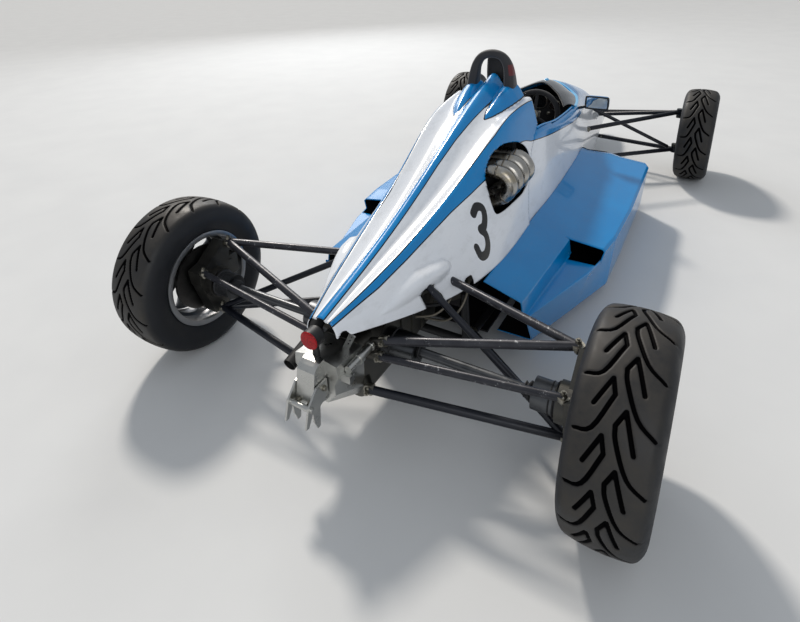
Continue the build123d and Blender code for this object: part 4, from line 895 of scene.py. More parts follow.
def rim_section(edge):
    """The barrel's section as a loop, from its lip at the inner edge over the tyre's seats and the well to
    the outer lip, and back along the bore. Columns: distance along the axle, radius."""
    inner, lip_top, lip_foot = edge - LIP_T, RIM_LIP + 1.5 * MM, RIM_LIP + 1 * MM
    low_seat, low_bore = RIM_SEAT - 1 * MM, RIM_BORE - 1 * MM
    return np.array([
        (-edge, RIM_LIP), (-edge + 1.5 * MM, lip_top), (-inner, lip_foot), (-inner, RIM_SEAT),
        (SLOPE_IN, low_seat), (FLOOR_IN, WELL_FLOOR), (FLOOR_OUT, WELL_FLOOR), (SLOPE_OUT, low_seat),
        (inner, RIM_SEAT), (inner, lip_foot), (edge - 1.5 * MM, lip_top), (edge, RIM_LIP),
        (edge - 1 * MM, RIM_BORE + 4 * MM), (edge - 10 * MM, RIM_BORE),
        (SLOPE_OUT, low_bore), (FLOOR_OUT, RIM_WELL), (FLOOR_IN, RIM_WELL), (SLOPE_IN, low_bore),
        (-edge + 8 * MM, RIM_BORE), (-edge, RIM_BORE + 5 * MM),
    ])


# Turned and lacquered alloy, and iron discs glazed by the pads
rim_alloy = metal("lacquered_cast_alloy", "#77797D", "#A5A7AA", 0.42, 300.0, 0.1)
disc_iron = metal("glazed_disc_iron", "#3A3A3C", "#5C5A58", 0.35, 900.0, 0.25)
angle = np.linspace(0, 2 * pi, WEB_AROUND, endpoint=False)[None]
radii = np.linspace(WEB_BORE, RIM_WELL + 2 * MM, WEB_RINGS)[:, None]
for corner, side in CORNERS:
    spot, half_wide, wheel = wheel_spot[corner], wheel_half[corner], corner + "_wheel"
    out_way = np.array([side, 0.0, 0.0])
    ring = spun(spot, out_way, rounded(rim_section(half_wide - LIP_SET), 2), 128, loop=True)
    crisp(piece(corner + "_rim_barrel", *ring, rim_alloy, wheel, "rim_alloy", [corner + "_rim"]))
    # The web is dished by a cosine of its radius
    web_x = half_wide - WEB_IN + WEB_T / 2
    dished = web_x + WEB_DISH * np.cos(radii / RIM_WELL * pi)
    web = np.stack([
        spot[0] + side * (dished + 0 * angle),
        spot[1] + radii * np.cos(angle), spot[2] + radii * np.sin(angle),
    ], axis=-1).reshape(-1, 3)
    faces = quads(WEB_RINGS, WEB_AROUND, around=True)
    for turn in np.arange(WINDOWS) * 2 * pi / WINDOWS:
        c, s = np.cos(turn), np.sin(turn)
        window = (rounded(WINDOW) + [WINDOW_MIDDLE, 0]) @ np.array([(c, s), (-s, c)])
        faces = cut_open(web, faces, (1, 2), window + spot[1:], np.ones(len(web), bool))
    web_piece = piece(corner + "_rim_web", *kept(web, faces)[:2], rim_alloy, wheel, "rim_alloy")
    crisp(thickened(web_piece, WEB_T, 0.0))
    # Centre nut, hexagonal, with its washer, and eight small studs round it
    nut_at = spot + out_way * (web_x - NUT_SINK)
    nuts = [spun(nut_at, out_way, capped((0, 34), (12, 32)), 48)]
    nuts.append(spun(nut_at, out_way, capped((10, 25), (30, 25), (33, 20)), 6))
    for turn in (np.arange(WINDOWS) + 0.5) * 2 * pi / WINDOWS:
        at = nut_at + STUD_RING * np.array([0, np.cos(turn), np.sin(turn)])
        nuts.append(spun(at, out_way, capped((0, 6), (16, 6), tip=18), 6))
    crisp(piece(corner + "_centre_nut", *gathered(nuts), disc_iron, wheel, "rim_alloy"))
finish_nodes(disc_iron, *[corner + "_brake_disc" for corner, _ in CORNERS])

# Boots of the driveshafts: moulded rubber bellows of six folds, wide at the joint, held by two bands
BOOT_LONG, BOOT_FOLDS, BOOT_WIDE, BOOT_NARROWS, FOLD_HIGH = 85 * MM, 6, 47 * MM, 28 * MM, 3.5 * MM
BOOT_FROM_IN, BOOT_FROM_OUT = 30 * MM, 100 * MM
boot_rubber = metal("moulded_boot_rubber", "#101114", "#1A1B1F", 0.6, 500.0, 0.1, metallic=0.0)
shaft_steel = metal("oiled_shaft_steel", "#3D3F42", "#6A6C6F", 0.35, 500.0, 0.1)
share = np.linspace(0, 1, 41)
fold = BOOT_WIDE - BOOT_NARROWS * share + FOLD_HIGH * np.cos(share * BOOT_FOLDS * 2 * pi)
bellows = capped(*(np.stack([BOOT_LONG * share, fold], 1) / MM))
for corner, side in CORNERS[:2]:
    low, high = (np.array(p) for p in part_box(corner + "_driveshaft"))
    middle = (low + high) / 2
    inner, outer = sorted((low[0], high[0]), key=abs)
    boots = [
        spun([x, middle[1], middle[2]], [way, 0, 0], bellows, 40)
        for x, way in ((inner + side * BOOT_FROM_IN, side), (side * (abs(outer) - BOOT_FROM_OUT), -side))
    ]
    piece(corner + "_shaft_boots", *gathered(boots), boot_rubber, corner + "_wheel", "black_plastic")
finish_nodes(shaft_steel, "rear_left_driveshaft", "rear_right_driveshaft")

# Engine, exhaust and chassis tubes
# Four stainless pipes leave the head through the cover's right flank, bend down and join a collector. They
# are bent from tube, welded in segments and tinted gold and blue by heat. A black pipe carries on to the
# tail.

PIPE_HALF, PORT_FIRST, PORT_PITCH, COLLECTOR_HALF = 24 * MM, -836 * MM, 67 * MM, 30 * MM
# Corners of a header's line. Columns: x, z
HEADER_LINE = MM * np.array([(-105.3, 628), (-224, 628), (-258, 573), (-222, 526), (-150, 494)])
HEADER_POINTS, HEADER_PASSES, WELDS_AT = 90, 90, (24, 66)
# Columns: x, y from the rear axle, z
COLLECTOR = MM * np.array([(-150, -856, 494), (-150, -470, 494)])
BEAD = MM * np.array([(-4, 23), (-2, 25.4), (2, 25.4), (4, 23)])


def tube(path, radius, sides=24, flat=1.0, up=(0.0, 0.0, 1.0), square=1.0):
    """A closed tube along a path: a ring of radius across and flat times it along up at each point. A
    square below 1 makes the ring boxier, by taking its sine and cosine to that power."""
    path = np.asarray(path, float)
    way = heading(path)
    across = unit(np.cross(way, up))
    rise = np.cross(across, way)
    size, tall = (np.broadcast_to(v, len(path)) for v in (radius, flat))
    path, across, rise, tall = (np.concatenate([v[:1], v, v[-1:]]) for v in (path, across, rise, tall))
    size = np.concatenate([[AXIS], size, [AXIS]])
    angle = np.linspace(0, 2 * pi, sides, endpoint=False)
    c, s = (np.sign(v) * np.abs(v) ** square for v in (np.cos(angle), np.sin(angle)))
    ring = across[:, None] * c[None, :, None] + (tall[:, None] * s)[..., None] * rise[:, None]
    points = path[:, None] + size[:, None, None] * ring
    return points.reshape(-1, 3), outward(points, quads(len(path), sides, around=True))


def smooth_bends(corners, count, passes):
    """A line through corners, sampled evenly and softened until its bends are round."""
    total = run_length(corners[None])[0, -1]
    return softened(resampled(corners, np.linspace(0, total, count))[None], passes)[0]


def heat_tinted():
    """Stainless tube: pale steel grey, with faint bands of straw, gold and blue that follow the heat, about
    100 mm apart, and a brushed bump."""
    material, tree, body, place = new_finish("heat_tinted_stainless", Metallic=1.0)
    heat = add_node(tree, "TexNoise", {"Vector": place, "Scale": 9.0, "Detail": 3.0})
    ramp = add_node(tree, "ValToRGB", {"Fac": heat})
    stops = ramp.color_ramp.elements
    stops[0].color, stops[1].color = linear("#8E8B86"), linear("#A3A19C")
    for stop, tint in ((0.36, "#A19E98"), (0.50, "#B0AEAA"), (0.59, "#A59C8A"), (0.66, "#98979A")):
        stops.new(stop).color = linear(tint)
    tree.links.new(ramp.outputs["Color"], body.inputs["Base Color"])
    soot = add_node(tree, "TexNoise", {"Vector": place, "Scale": 45.0, "Detail": 6.0})
    rough = add_node(tree, "MapRange", {0: soot, 1: 0.35, 2: 0.7, 3: 0.2, 4: 0.42})
    tree.links.new(rough.outputs[0], body.inputs["Roughness"])
    bump = add_node(tree, "Bump", {"Height": soot, "Strength": 0.06, "Distance": 0.5 * MM})
    tree.links.new(bump.outputs[0], body.inputs["Normal"])
    return material


stainless = heat_tinted()
headers, welds = [], []
line = smooth_bends(HEADER_LINE, HEADER_POINTS, HEADER_PASSES)
for i in range(4):
    y = np.full(len(line), REAR_AXLE + PORT_FIRST + i * PORT_PITCH)
    path = np.stack([line[:, 0], y, line[:, 1]], axis=1)
    headers.append(tube(path, PIPE_HALF, 36, up=(0, 1, 0)))
    for k in WELDS_AT:
        welds.append(spun(path[k], path[k + 1] - path[k - 1], BEAD, 36, loop=True))
    # A flange at the port, held by two bolts
    headers.append(spun(path[0], (-1, 0, 0), capped((0, 34), (9, 34)), 28))
    for lift in (-22.5, 22.5):
        at = path[0] + MM * np.array([-8, lift, lift])
        welds.append(spun(at, (-1, 0, 0), capped((0, 6), (9, 6)), 6))
collector = COLLECTOR + [0, REAR_AXLE, 0]
headers.append(tube(np.linspace(*collector, 12), COLLECTOR_HALF, 36))
crisp(piece(
    "exhaust_pipes", *gathered(headers), stainless, slot="bright_steel", replaces=["exhaust_headers"],
), 0.9)
weld_steel = metal("weld_bead_steel", "#4F4A44", "#8B8378", 0.35, 700.0, 0.3)
piece("exhaust_welds", *gathered(welds), weld_steel, slot="bright_steel")
# Stove enamel on the pipe, powder coat on the frame, oil on the castings, and the radiators' dull fins
pipe_black = metal("stove_black_pipe", "#17181A", "#2A2A2B", 0.55, 400.0, 0.25, metallic=0.4)
frame_black = metal("powder_coated_frame", "#141517", "#202124", 0.4, 200.0, 0.1, metallic=0.2)
dark_iron = metal("oily_engine_casting", "#29292A", "#47464A", 0.5, 260.0, 0.4, metallic=0.6)
finned = metal("finned_radiator_core", "#2E3032", "#55585A", 0.45, 160.0, 0.6, metallic=0.7)
finish_nodes(pipe_black, "exhaust_tailpipe")
finish_nodes(frame_black, "chassis_frame")
finish_nodes(dark_iron, "engine_block")
finish_nodes(finned, "radiator_cores")

# Gearbox, tail casting and rear lamp
# Sand cast alloy cases, machined on their faces and bolted together. The tail carries two fork plates with
# the bar for the jack. The rain lamp is a red ribbed lens in a round black body on a post.

case_alloy = metal("sand_cast_gearbox_alloy", "#4C4B49", "#77756F", 0.45, 330.0, 0.45)
# The tail casting is machined alloy, paler than the cases. Its colour is lightened further with painted light
# to lift the shade it stands in
tail_alloy_painted_light = metal("machined_tail_alloy_painted_light", "#A9AAA9", "#D0D0CC", 0.3, 280.0, 0.12)
finish_nodes(case_alloy, "gearbox_case")
finish_nodes(tail_alloy_painted_light, "gearbox_tail")
# Bolts of the tail casting. Columns: x, y from the rear axle, z, and the way each points
TAIL_BOLTS = (
    (-60, 168, 330, (-1, 0, 0.3)), (-66, 168, 262, (-1, 0, -0.4)), (-60, 120, 210, (-1, 0, -0.6)),
    (60, 168, 330, (1, 0, 0.3)), (66, 168, 262, (1, 0, -0.4)), (-20, 289, 252, (0, 1, 0)),
    (20, 289, 252, (0, 1, 0)), (-38, 250, 283, (-1, 0, 0)), (38, 250, 283, (1, 0, 0)),
)
BOLT = capped((0, 9), (2, 9), (2, 6.5), (9, 6.5))
bolt_steel = metal("zinc_plated_bolts", "#77746B", "#A7A49A", 0.35, 800.0, 0.2)
bolts = [spun([x * MM, REAR_AXLE + y * MM, z * MM], way, BOLT, 12) for x, y, z, way in TAIL_BOLTS]
crisp(piece("gearbox_bolts", *gathered(bolts), bolt_steel, slot="bright_steel"))

# Hoses and the wiring loom, looped under the tail of the cover. Columns: radius, then x, y from the rear
# axle, z
HOSES = (
    (5.5, ((-105, -420, 400), (-168, -360, 392), (-196, -290, 352), (-178, -215, 318), (-110, -185, 300))),
    (4.5, ((-95, -380, 400), (-165, -300, 372), (-190, -235, 322), (-160, -190, 282), (-100, -160, 270))),
    (4.0, ((-90, -440, 380), (-205, -345, 352), (-226, -262, 300), (-190, -220, 250), (-110, -205, 240))),
    (5.5, ((105, -430, 395), (170, -340, 385), (182, -260, 340), (120, -200, 300))),
    (3.0, ((60, -400, 430), (72, -250, 385), (66, -90, 356), (52, 60, 350))),
)
hoses = [
    tube(curved(np.array(corners) * MM, 12) + [0, REAR_AXLE, 0], size * MM, 14, up=(0.1, 0.2, 1))
    for size, corners in HOSES
]
# A steel braid sleeves three of them, and the others are bare rubber
braid = metal("braided_steel_hose", "#5E5A52", "#8C867A", 0.4, 1200.0, 0.5, metallic=0.7)
piece("braided_hoses", *gathered(hoses[1:4]), braid, slot="bright_steel")
piece("rubber_hoses", *gathered(hoses[:1] + hoses[4:]), boot_rubber, slot="black_plastic")

POST_HALF, POST_BACK = 9 * MM, 30 * MM
# In millimetres, with the body's section: its rim, its round side and back, and the tray behind the lens
LAMP_R, LAMP_DEEP, LENS_R, LENS_DOME = 28.5, 46, 28, 4.8
LAMP_SHELL = MM * np.array([
    (6, 27), (6.5, 27.5), (6.5, LAMP_R), (14, LAMP_R), (16, 27.8), (40, 27.2), (LAMP_DEEP, 22),
    (LAMP_DEEP, AXIS / MM), (8, AXIS / MM), (8, 27),
])
lamp_low, lamp_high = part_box("rear_light")
lamp_at, backwards = np.array([0, lamp_high[1], lamp_high[2] - LAMP_R * MM]), (0, -1, 0)
post_y = lamp_at[1] - POST_BACK
post = np.linspace((0, post_y, lamp_low[2] + 1 * MM), (0, post_y, lamp_at[2] - 15 * MM), 6)
lamp_body = [
    spun(lamp_at, backwards, LAMP_SHELL, 64), tube(post, POST_HALF, 16, 0.8, up=(0, 1, 0), square=0.5),
]
housing = metal("moulded_lamp_black", "#0C0D0F", "#17181B", 0.45, 300.0, 0.1, metallic=0.0)
crisp(piece("rear_lamp_body", *gathered(lamp_body), housing, slot="black_plastic", replaces=["rear_light"]))
# The lens is a quarter of an ellipse, spun
dome = np.linspace(0, 1, 14)
lens_line = np.stack([5 - LENS_DOME * np.sqrt(1 - dome ** 2), LENS_R * dome + AXIS / MM], axis=1)
lens_line = MM * np.concatenate([lens_line, [(6.4, LENS_R), (6.4, AXIS / MM)]])
# Red acrylic, moulded with small prisms 3 mm across, each painted lighter red in its middle and darker at its
# edge as a painted glint
lens_red, tree, body, place = new_finish(
    "ribbed_red_lens", Roughness=0.4, Coat_Weight=0.15, Coat_Roughness=0.1, Specular_IOR_Level=0.25,
)
cells = add_node(tree, "TexVoronoi", {"Vector": place, "Scale": 330.0})
painted_prism_glint = add_node(tree, "MapRange", {0: cells, 1: 0.0, 2: 0.7})
reds = add_node(tree, "Mix", {0: painted_prism_glint, 6: linear("#C80010"), 7: linear("#7A0008")}, data_type="RGBA")
tree.links.new(reds.outputs[2], body.inputs["Base Color"])
bump = add_node(tree, "Bump", {"Height": cells, "Strength": 0.4, "Distance": 0.5 * MM})
tree.links.new(bump.outputs[0], body.inputs["Normal"])
piece("rear_lamp_lens", *spun(lamp_at, backwards, lens_line, 64), lens_red, slot="lamp_red")

# Suspension
# Steel tube wishbones, toe links and pushrods in blue-black enamel that stones have chipped, with spherical
# rod ends bolted to the cases and uprights. Cast alloy uprights and knuckles carry the hubs.

arm_paint = metal("chipped_arm_enamel", "#0E1119", "#191D28", 0.34, 240.0, 0.1, scratch=0.02, metallic=0.25)
upright_alloy = metal("cast_upright_alloy", "#3B3B3D", "#66655F", 0.45, 300.0, 0.4)
# The rear upper arms and toe links get a lighter copy of the arm enamel, with more bright chips
lighter_arm_paint = metal(
    "arm_enamel_lighter_more_chips", "#1B1C22", "#43444A", 0.34, 240.0, 0.15, scratch=0.08, metallic=0.5,
)
finish_nodes(
    arm_paint, "rear_lower_arms", "rear_pushrods", "front_upper_arms", "front_lower_arms", "front_pushrods",
    "steering_rods",
)
finish_nodes(lighter_arm_paint, "rear_upper_arms", "rear_toe_links")
finish_nodes(upright_alloy, "rear_uprights", "front_left_knuckle", "front_right_knuckle")
REAR_X, FRONT_AXLE = wheel_spot["rear_left"][0], wheel_spot["front_left"][1]
# Rod ends, in metres. Columns: axle's y, x, y from that axle, z, whether the ball's bolt is upright, size
ROD_ENDS = (
    (REAR_AXLE, REAR_X - 0.137, -0.073, 0.415, True, 1.0), (REAR_AXLE, 0.118, 0.059, 0.335, False, 1.0),
    (REAR_AXLE, 0.180, -0.238, 0.398, False, 1.0), (REAR_AXLE, 0.118, 0.088, 0.300, False, 0.9),
    (REAR_AXLE, REAR_X - 0.136, 0.056, 0.351, True, 0.9),
    (REAR_AXLE, REAR_X - 0.132, -0.002, 0.171, True, 1.0), (REAR_AXLE, 0.104, 0.128, 0.206, False, 1.0),
    (REAR_AXLE, 0.232, -0.330, 0.140, False, 1.0), (FRONT_AXLE, 0.208, 0.458, 0.371, False, 0.8),
    (FRONT_AXLE, 0.196, -0.136, 0.306, False, 0.8), (FRONT_AXLE, 0.200, 0.312, 0.137, False, 0.8),
    (FRONT_AXLE, 0.190, -0.125, 0.156, False, 0.8),
)
BALL = capped((-11, 6), (-7, 10.5), (0, 12.5), (7, 10.5), (11, 6))
RACE = MM * np.array([(-6, 11), (-6.5, 17.5), (0, 18.5), (6.5, 17.5), (6, 11)])
NUT = capped((11, 8.8), (20, 8.8), (20, 4.5), (25, 4.5))
ends = []
for axle, x, y, z, upright, size in ROD_ENDS:
    for side in (1, -1):
        at, way = np.array([side * x, axle + y, z]), np.array([0, 0, 1] if upright else [0, 1, 0])
        ends += [spun(at, way, BALL * size, 20), spun(at, way, RACE * size, 28, loop=True)]
        ends += [spun(at, turn * way, NUT * size, 6) for turn in (1, -1)]
crisp(piece("rod_ends", *gathered(ends), bolt_steel, slot="bright_steel"))

# Roll hoop and head rest
# Two steel legs and an arch, wrapped in black padding that is boxy round the legs, with a patch of red
# tape. The head rest is a block of foam in a sewn black cover on the bulkhead's tongue.

HOOP_Y, HOOP_SIDES, BOXY = REAR_AXLE - 1058 * MM, 64, 0.45
# Left leg and half of the arch, in metres. Columns: x, z, half width across the tube, half depth along the
# car, and how round it is, from boxy to 1
HOOP_LINE = np.array([
    (0.090, 0.560, 0.024, 0.037, BOXY), (0.0868, 0.70, 0.024, 0.037, BOXY),
    (0.0845, 0.80, 0.024, 0.037, BOXY), (0.080, 0.868, 0.0225, 0.032, 0.5),
    (0.0695, 0.926, 0.020, 0.023, 0.7), (0.044, 0.963, 0.018, 0.0185, 0.9), (0.0, 0.976, 0.017, 0.017, 1.0),
])
TAPE_LOW, TAPE_HIGH, TAPE_X, TAPE_LEAN = 893 * MM, 936 * MM, 83 * MM, 0.22
PANEL_ROW, PANEL_LOW, PANEL_MIDDLE = 11, 630 * MM, 660 * MM
PANEL_SHRINK, PANEL_UNDER, PANEL_WALL = [0.97, 1, 1], [0, 0, 12 * MM], 3 * MM

hoop_rows = curved(np.concatenate([HOOP_LINE, HOOP_LINE[-2::-1] * [-1, 1, 1, 1, 1]]), 14)
x, z, half_across, half_along, roundness = hoop_rows.T
path = np.stack([x, np.full(len(x), HOOP_Y), z], axis=1)
points, faces = tube(path, half_across, HOOP_SIDES, half_along / half_across, (0, 1, 0), 0.55)
# Over the arch each boxy ring blends back to a round one
with_caps = np.concatenate([[0], np.arange(len(x)), [len(x) - 1]])
middle, size = path[with_caps][:, None], half_across[with_caps][:, None, None]
round_share = np.clip((roundness[with_caps] - BOXY) / (1 - BOXY), 0, 1)[:, None, None]
rings = points.reshape(-1, HOOP_SIDES, 3) - middle
length = np.maximum(np.linalg.norm(rings, axis=2, keepdims=True), 1e-9)
shrunk = np.where(length > size, rings * (1 - round_share) + rings / length * size * round_share, rings)
points = (middle + np.where(length > 0.1 * MM, shrunk, rings)).reshape(-1, 3)
# The tape attribute is the distance inside the patch, on the right shoulder of the hoop
up = points[:, 2] - TAPE_LOW
tape = np.minimum(np.minimum(up, TAPE_HIGH - points[:, 2]), TAPE_LEAN * up - points[:, 0] - TAPE_X)


def cloth(name, dark, light, weave, rough=0.8):
    """A woven or knitted cover: two tones, and threads 0.6 to 2 mm apart in the bump."""
    material, tree, body, place = new_finish(name, Roughness=rough, Sheen_Weight=0.25)
    cloud = add_node(tree, "TexNoise", {"Vector": place, "Scale": 30.0, "Detail": 5.0})
    tone = add_node(tree, "Mix", {0: cloud, 6: linear(dark), 7: linear(light)}, data_type="RGBA")
    tree.links.new(tone.outputs[2], body.inputs["Base Color"])
    threads = add_node(tree, "TexWave", {"Vector": place, "Scale": weave, "Distortion": 1.5, "Detail": 2.0})
    bump = add_node(tree, "Bump", {"Height": threads, "Strength": 0.3, "Distance": 0.5 * MM})
    tree.links.new(bump.outputs[0], body.inputs["Normal"])
    return material, tree, body, tone


wrap, tree, body, tone = cloth("black_hoop_padding", "#15161A", "#25262B", 160.0, 0.62)
patch = add_node(tree, "Attribute", {}, attribute_name="tape").outputs["Fac"]
taped = add_node(tree, "Math", {0: patch, 1: 0.0}, operation="GREATER_THAN")
mixed = add_node(tree, "Mix", {0: taped, 6: tone.outputs[2], 7: linear("#5A1216")}, data_type="RGBA")
tree.links.new(mixed.outputs[2], body.inputs["Base Color"])

# A black panel closes the cover's open front behind the hoop, down to the bulkhead: a fan round its middle
rim_line = full[PANEL_ROW][full[PANEL_ROW][:, 2] > PANEL_LOW] * PANEL_SHRINK - PANEL_UNDER
count = len(rim_line)
panel = np.concatenate([rim_line, [[0, rim_line[0, 1], PANEL_MIDDLE]]])
around = np.arange(count)
fan = np.stack([around, (around + 1) % count, np.full(count, count)], axis=1)
thickened(piece("engine_firewall", panel, fan, lining, slot="black_plastic"), PANEL_WALL)
hoop = piece("roll_hoop_padding", points, faces, wrap, slot="hoop_wrap", replaces=["roll_hoop"], tape=tape)
crisp(hoop, 1.0)


def cushion(low, high, corner, crown, steps=26):
    """A stuffed block between two corners: a cube's grid, rounded by its corner radius, with each face
    crowned by the product of cosines across it."""
    low, high = np.array(low), np.array(high)
    half, middle = (high - low) / 2, (low + high) / 2
    t = np.tan(np.linspace(-pi / 4, pi / 4, steps))
    u, v = np.meshgrid(t, t, indexing="ij")
    parts = []
    for axis in range(3):
        for way in (1, -1):
            flat = np.empty((steps, steps, 3))
            flat[..., axis], flat[..., (axis + 1) % 3], flat[..., (axis + 2) % 3] = way, u, v
            core = np.clip(flat * half, corner - half, half - corner)
            point = core + unit(flat * half - core) * corner
            point[..., axis] += way * crown * np.cos(u * pi / 2) * np.cos(v * pi / 2)
            parts.append(((middle + point).reshape(-1, 3), quads(steps, steps)[:, ::way]))
    points, faces = merged(*gathered(parts), 6)
    return points, outward(points, faces)


# Leathercloth with a grain of 4 mm, sewn over foam
pad_cover, tree, body, place = new_finish("sewn_black_leathercloth", Roughness=0.55, Sheen_Weight=0.1)
grain = add_node(tree, "TexVoronoi", {"Vector": place, "Scale": 260.0})
tones = add_node(tree, "Mix", {0: grain, 6: linear("#101114"), 7: linear("#1E1F23")}, data_type="RGBA")
tree.links.new(tones.outputs[2], body.inputs["Base Color"])
bump = add_node(tree, "Bump", {"Height": grain, "Strength": 0.35, "Distance": 0.5 * MM})
tree.links.new(bump.outputs[0], body.inputs["Normal"])
PAD_CORNER, PAD_CROWN = 12 * MM, 3 * MM
pad = cushion(*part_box("head_rest"), PAD_CORNER, PAD_CROWN)
rest = piece("head_rest_pad", *pad, pad_cover, slot="pad_cover", replaces=["head_rest"])

# Seat and harness
# A moulded black shell with a thin foam liner sewn into channels, and a six point harness of red webbing with
# stamped steel buckles that meet in a round lock.

SEAT_BACK = REAR_AXLE - 1150 * MM
# The shell's upper side from the shoulders to the knees. Columns: y from the seat back, z
SEAT_LINE = MM * np.array([
    (0, 620), (-60, 420), (-120, 290), (-180, 170), (-260, 118), (-330, 95), (-420, 118), (-510, 146),
])
LINER_HALF, LINER_THICK, LINER_LEAST, LINER_UNDER, LINER_STEPS = 148 * MM, 18 * MM, 2 * MM, 1 * MM, 41
# The liner thins to its edge over a share of its half width and a length of its ends, and is sewn at each
# channel
EDGE_SHARE, END_LENGTH, CHANNEL, STITCHED = 0.12, 20 * MM, 62 * MM, 0.28

line = curved(SEAT_LINE, 12)
lift = heading(line)[:, ::-1] * [1, -1]
lift *= np.where(lift[:, 1:] < 0, -1, 1)
run = run_length(line[None])[0]
over = np.linspace(-1, 1, LINER_STEPS)
side_fall = np.clip((1 - np.abs(over)) / EDGE_SHARE, 0, 1)[None] ** 0.5
end_fall = np.clip(np.minimum(run, run[-1] - run) / END_LENGTH, 0, 1)[:, None] ** 0.5
channels = 1 - STITCHED + STITCHED * np.abs(np.sin(run / CHANNEL * pi))[:, None] ** 0.5


def off_seat(across, high):
    """Points across the seat line, high above the shell along the line's normal."""
    y, z = SEAT_BACK + line[:, :1] + lift[:, :1] * high, line[:, 1:] + lift[:, 1:] * high
    return np.stack(np.broadcast_arrays(across * LINER_HALF, y, z), axis=-1)


high = LINER_THICK * side_fall * end_fall * channels + LINER_LEAST
liner_grid = np.concatenate([off_seat(over, high), off_seat(over[::-1], LINER_UNDER + 0 * high)], axis=1)
faces = outward(liner_grid, quads(len(line), 2 * LINER_STEPS, around=True))
liner = piece("seat_liner", liner_grid, faces, pad_cover, slot="pad_cover")
finish_nodes(cloth("laminated_seat_shell", "#0E0F11", "#1B1C1F", 320.0, 0.45)[0], "seat")


def webbing(path, width, thick, out):
    """A strap along a path: a flat band of width and thickness, its face turned towards out."""
    path = np.asarray(path, float)
    flat = unit(np.cross(heading(path), out))
    face = np.cross(flat, heading(path))
    corners = [(-1, -1), (-1, 1), (1, 1), (1, -1)]
    ring = np.stack([path + a * flat * width / 2 + b * face * thick / 2 for a, b in corners], axis=1)
    rings = np.concatenate([path[:1, None] + 0 * ring[:1], ring, path[-1:, None] + 0 * ring[-1:]])
    return rings.reshape(-1, 3), outward(rings, quads(len(rings), 4, around=True))


def seat_spot(share, x, off):
    """A point above the liner: share of the way down the seat line, x across, off above the shell."""
    at = share * run[-1]
    y, z, ly, lz = (np.interp(at, run, v) for v in (line[:, 0], line[:, 1], lift[:, 0], lift[:, 1]))
    return [x, SEAT_BACK + y + ly * off, z + lz * off]


# Shoulder straps run down to the lock, lap straps out from it to the seat's sides, and leg straps on from it
SHOULDER_AT, LOCK, LEG_END = 0.02, 0.60, 0.82
STRAP_WIDE, STRAP_THICK, STRAP_OUT = 46 * MM, 2.8 * MM, (0, -0.5, 0.86)
SHOULDER_X, CLOSES, LEG_X, LEG_OPENS, LAP_X = 85 * MM, 70 * MM, 10 * MM, 50 * MM, (15 * MM, 146 * MM)
BUCKLE_AT, BUCKLE_X, STEEL_OFF = 0.25, 67 * MM, 36 * MM
belts = []
for side in (1, -1):
    belts.append([
        seat_spot(s, side * (SHOULDER_X - CLOSES * (s / LOCK) ** 1.5), (26 + 12 * np.sin(s * 9)) * MM)
        for s in np.linspace(SHOULDER_AT, LOCK, 26)
    ])
    belts.append([
        seat_spot(LOCK, side * x, (30 - 4 * np.cos(x * 20)) * MM) for x in np.linspace(*LAP_X, 12)
    ])
    belts.append([
        seat_spot(s, side * (LEG_X + LEG_OPENS * (s - LOCK) / 0.2), 28 * MM)
        for s in np.linspace(LOCK, LEG_END, 10)
    ])
straps = gathered([webbing(belt, STRAP_WIDE, STRAP_THICK, STRAP_OUT) for belt in belts])
belt_red = cloth("woven_harness_webbing", "#5A1416", "#7C1D1F", 420.0, 0.75)[0]
crisp(piece("harness_webbing", *straps, belt_red, slot="hoop_wrap"))
lock_way = np.array([0, *lift[int(LOCK * len(line))]])
steel = [spun(seat_spot(LOCK, 0, STEEL_OFF), lock_way, capped((-8, 30), (10, 30), (14, 24)), 40)]
for side in (1, -1):
    at = seat_spot(BUCKLE_AT, side * BUCKLE_X, STEEL_OFF)
    steel.append(spun(at, lock_way, capped((-4, 29), (4, 29)), 4))
crisp(piece("harness_buckles", *gathered(steel), bolt_steel, slot="bright_steel"))

# Dash and steering wheel
# A flat black panel with one round rev counter, two small gauges and a row of switches. The wheel is a
# suede covered ring on three alloy spokes, bolted to a quick release boss.

finish_nodes(metal("moulded_dash_black", "#0F1012", "#1A1B1E", 0.5, 350.0, 0.15, metallic=0.0), "dash_panel")
DASH_FACE, SWITCHES, SWITCH_X, SWITCH_PITCH, SWITCH_Z = REAR_AXLE - 1800 * MM, 5, -100 * MM, 50 * MM, 535 * MM
# Columns: x, z, radius
GAUGES = ((0, 600, 40), (-85, 585, 26), (85, 585, 26))
# A bezel's section as a loop. Columns: distance from the dash, distance outside the gauge
BEZEL = np.array([(0, 4), (12, 3), (13, 0), (6, -2), (0, -2)])
rims, dials, toward = [], [], (0, 1, 0)
for x, z, r in GAUGES:
    at = (x * MM, DASH_FACE, z * MM)
    rims.append(spun(at, toward, MM * (BEZEL + [0, r]), 48, loop=True))
    dials.append(spun(at, toward, capped((1, r), (6, r)), 48))
for k in range(SWITCHES):
    at = (SWITCH_X + k * SWITCH_PITCH, DASH_FACE, SWITCH_Z)
    rims.append(spun(at, toward, capped((0, 9), (4, 9), (6, 4), (24, 3), tip=26), 16))
crisp(piece("gauge_bezels", *gathered(rims), bolt_steel, slot="bright_steel"))
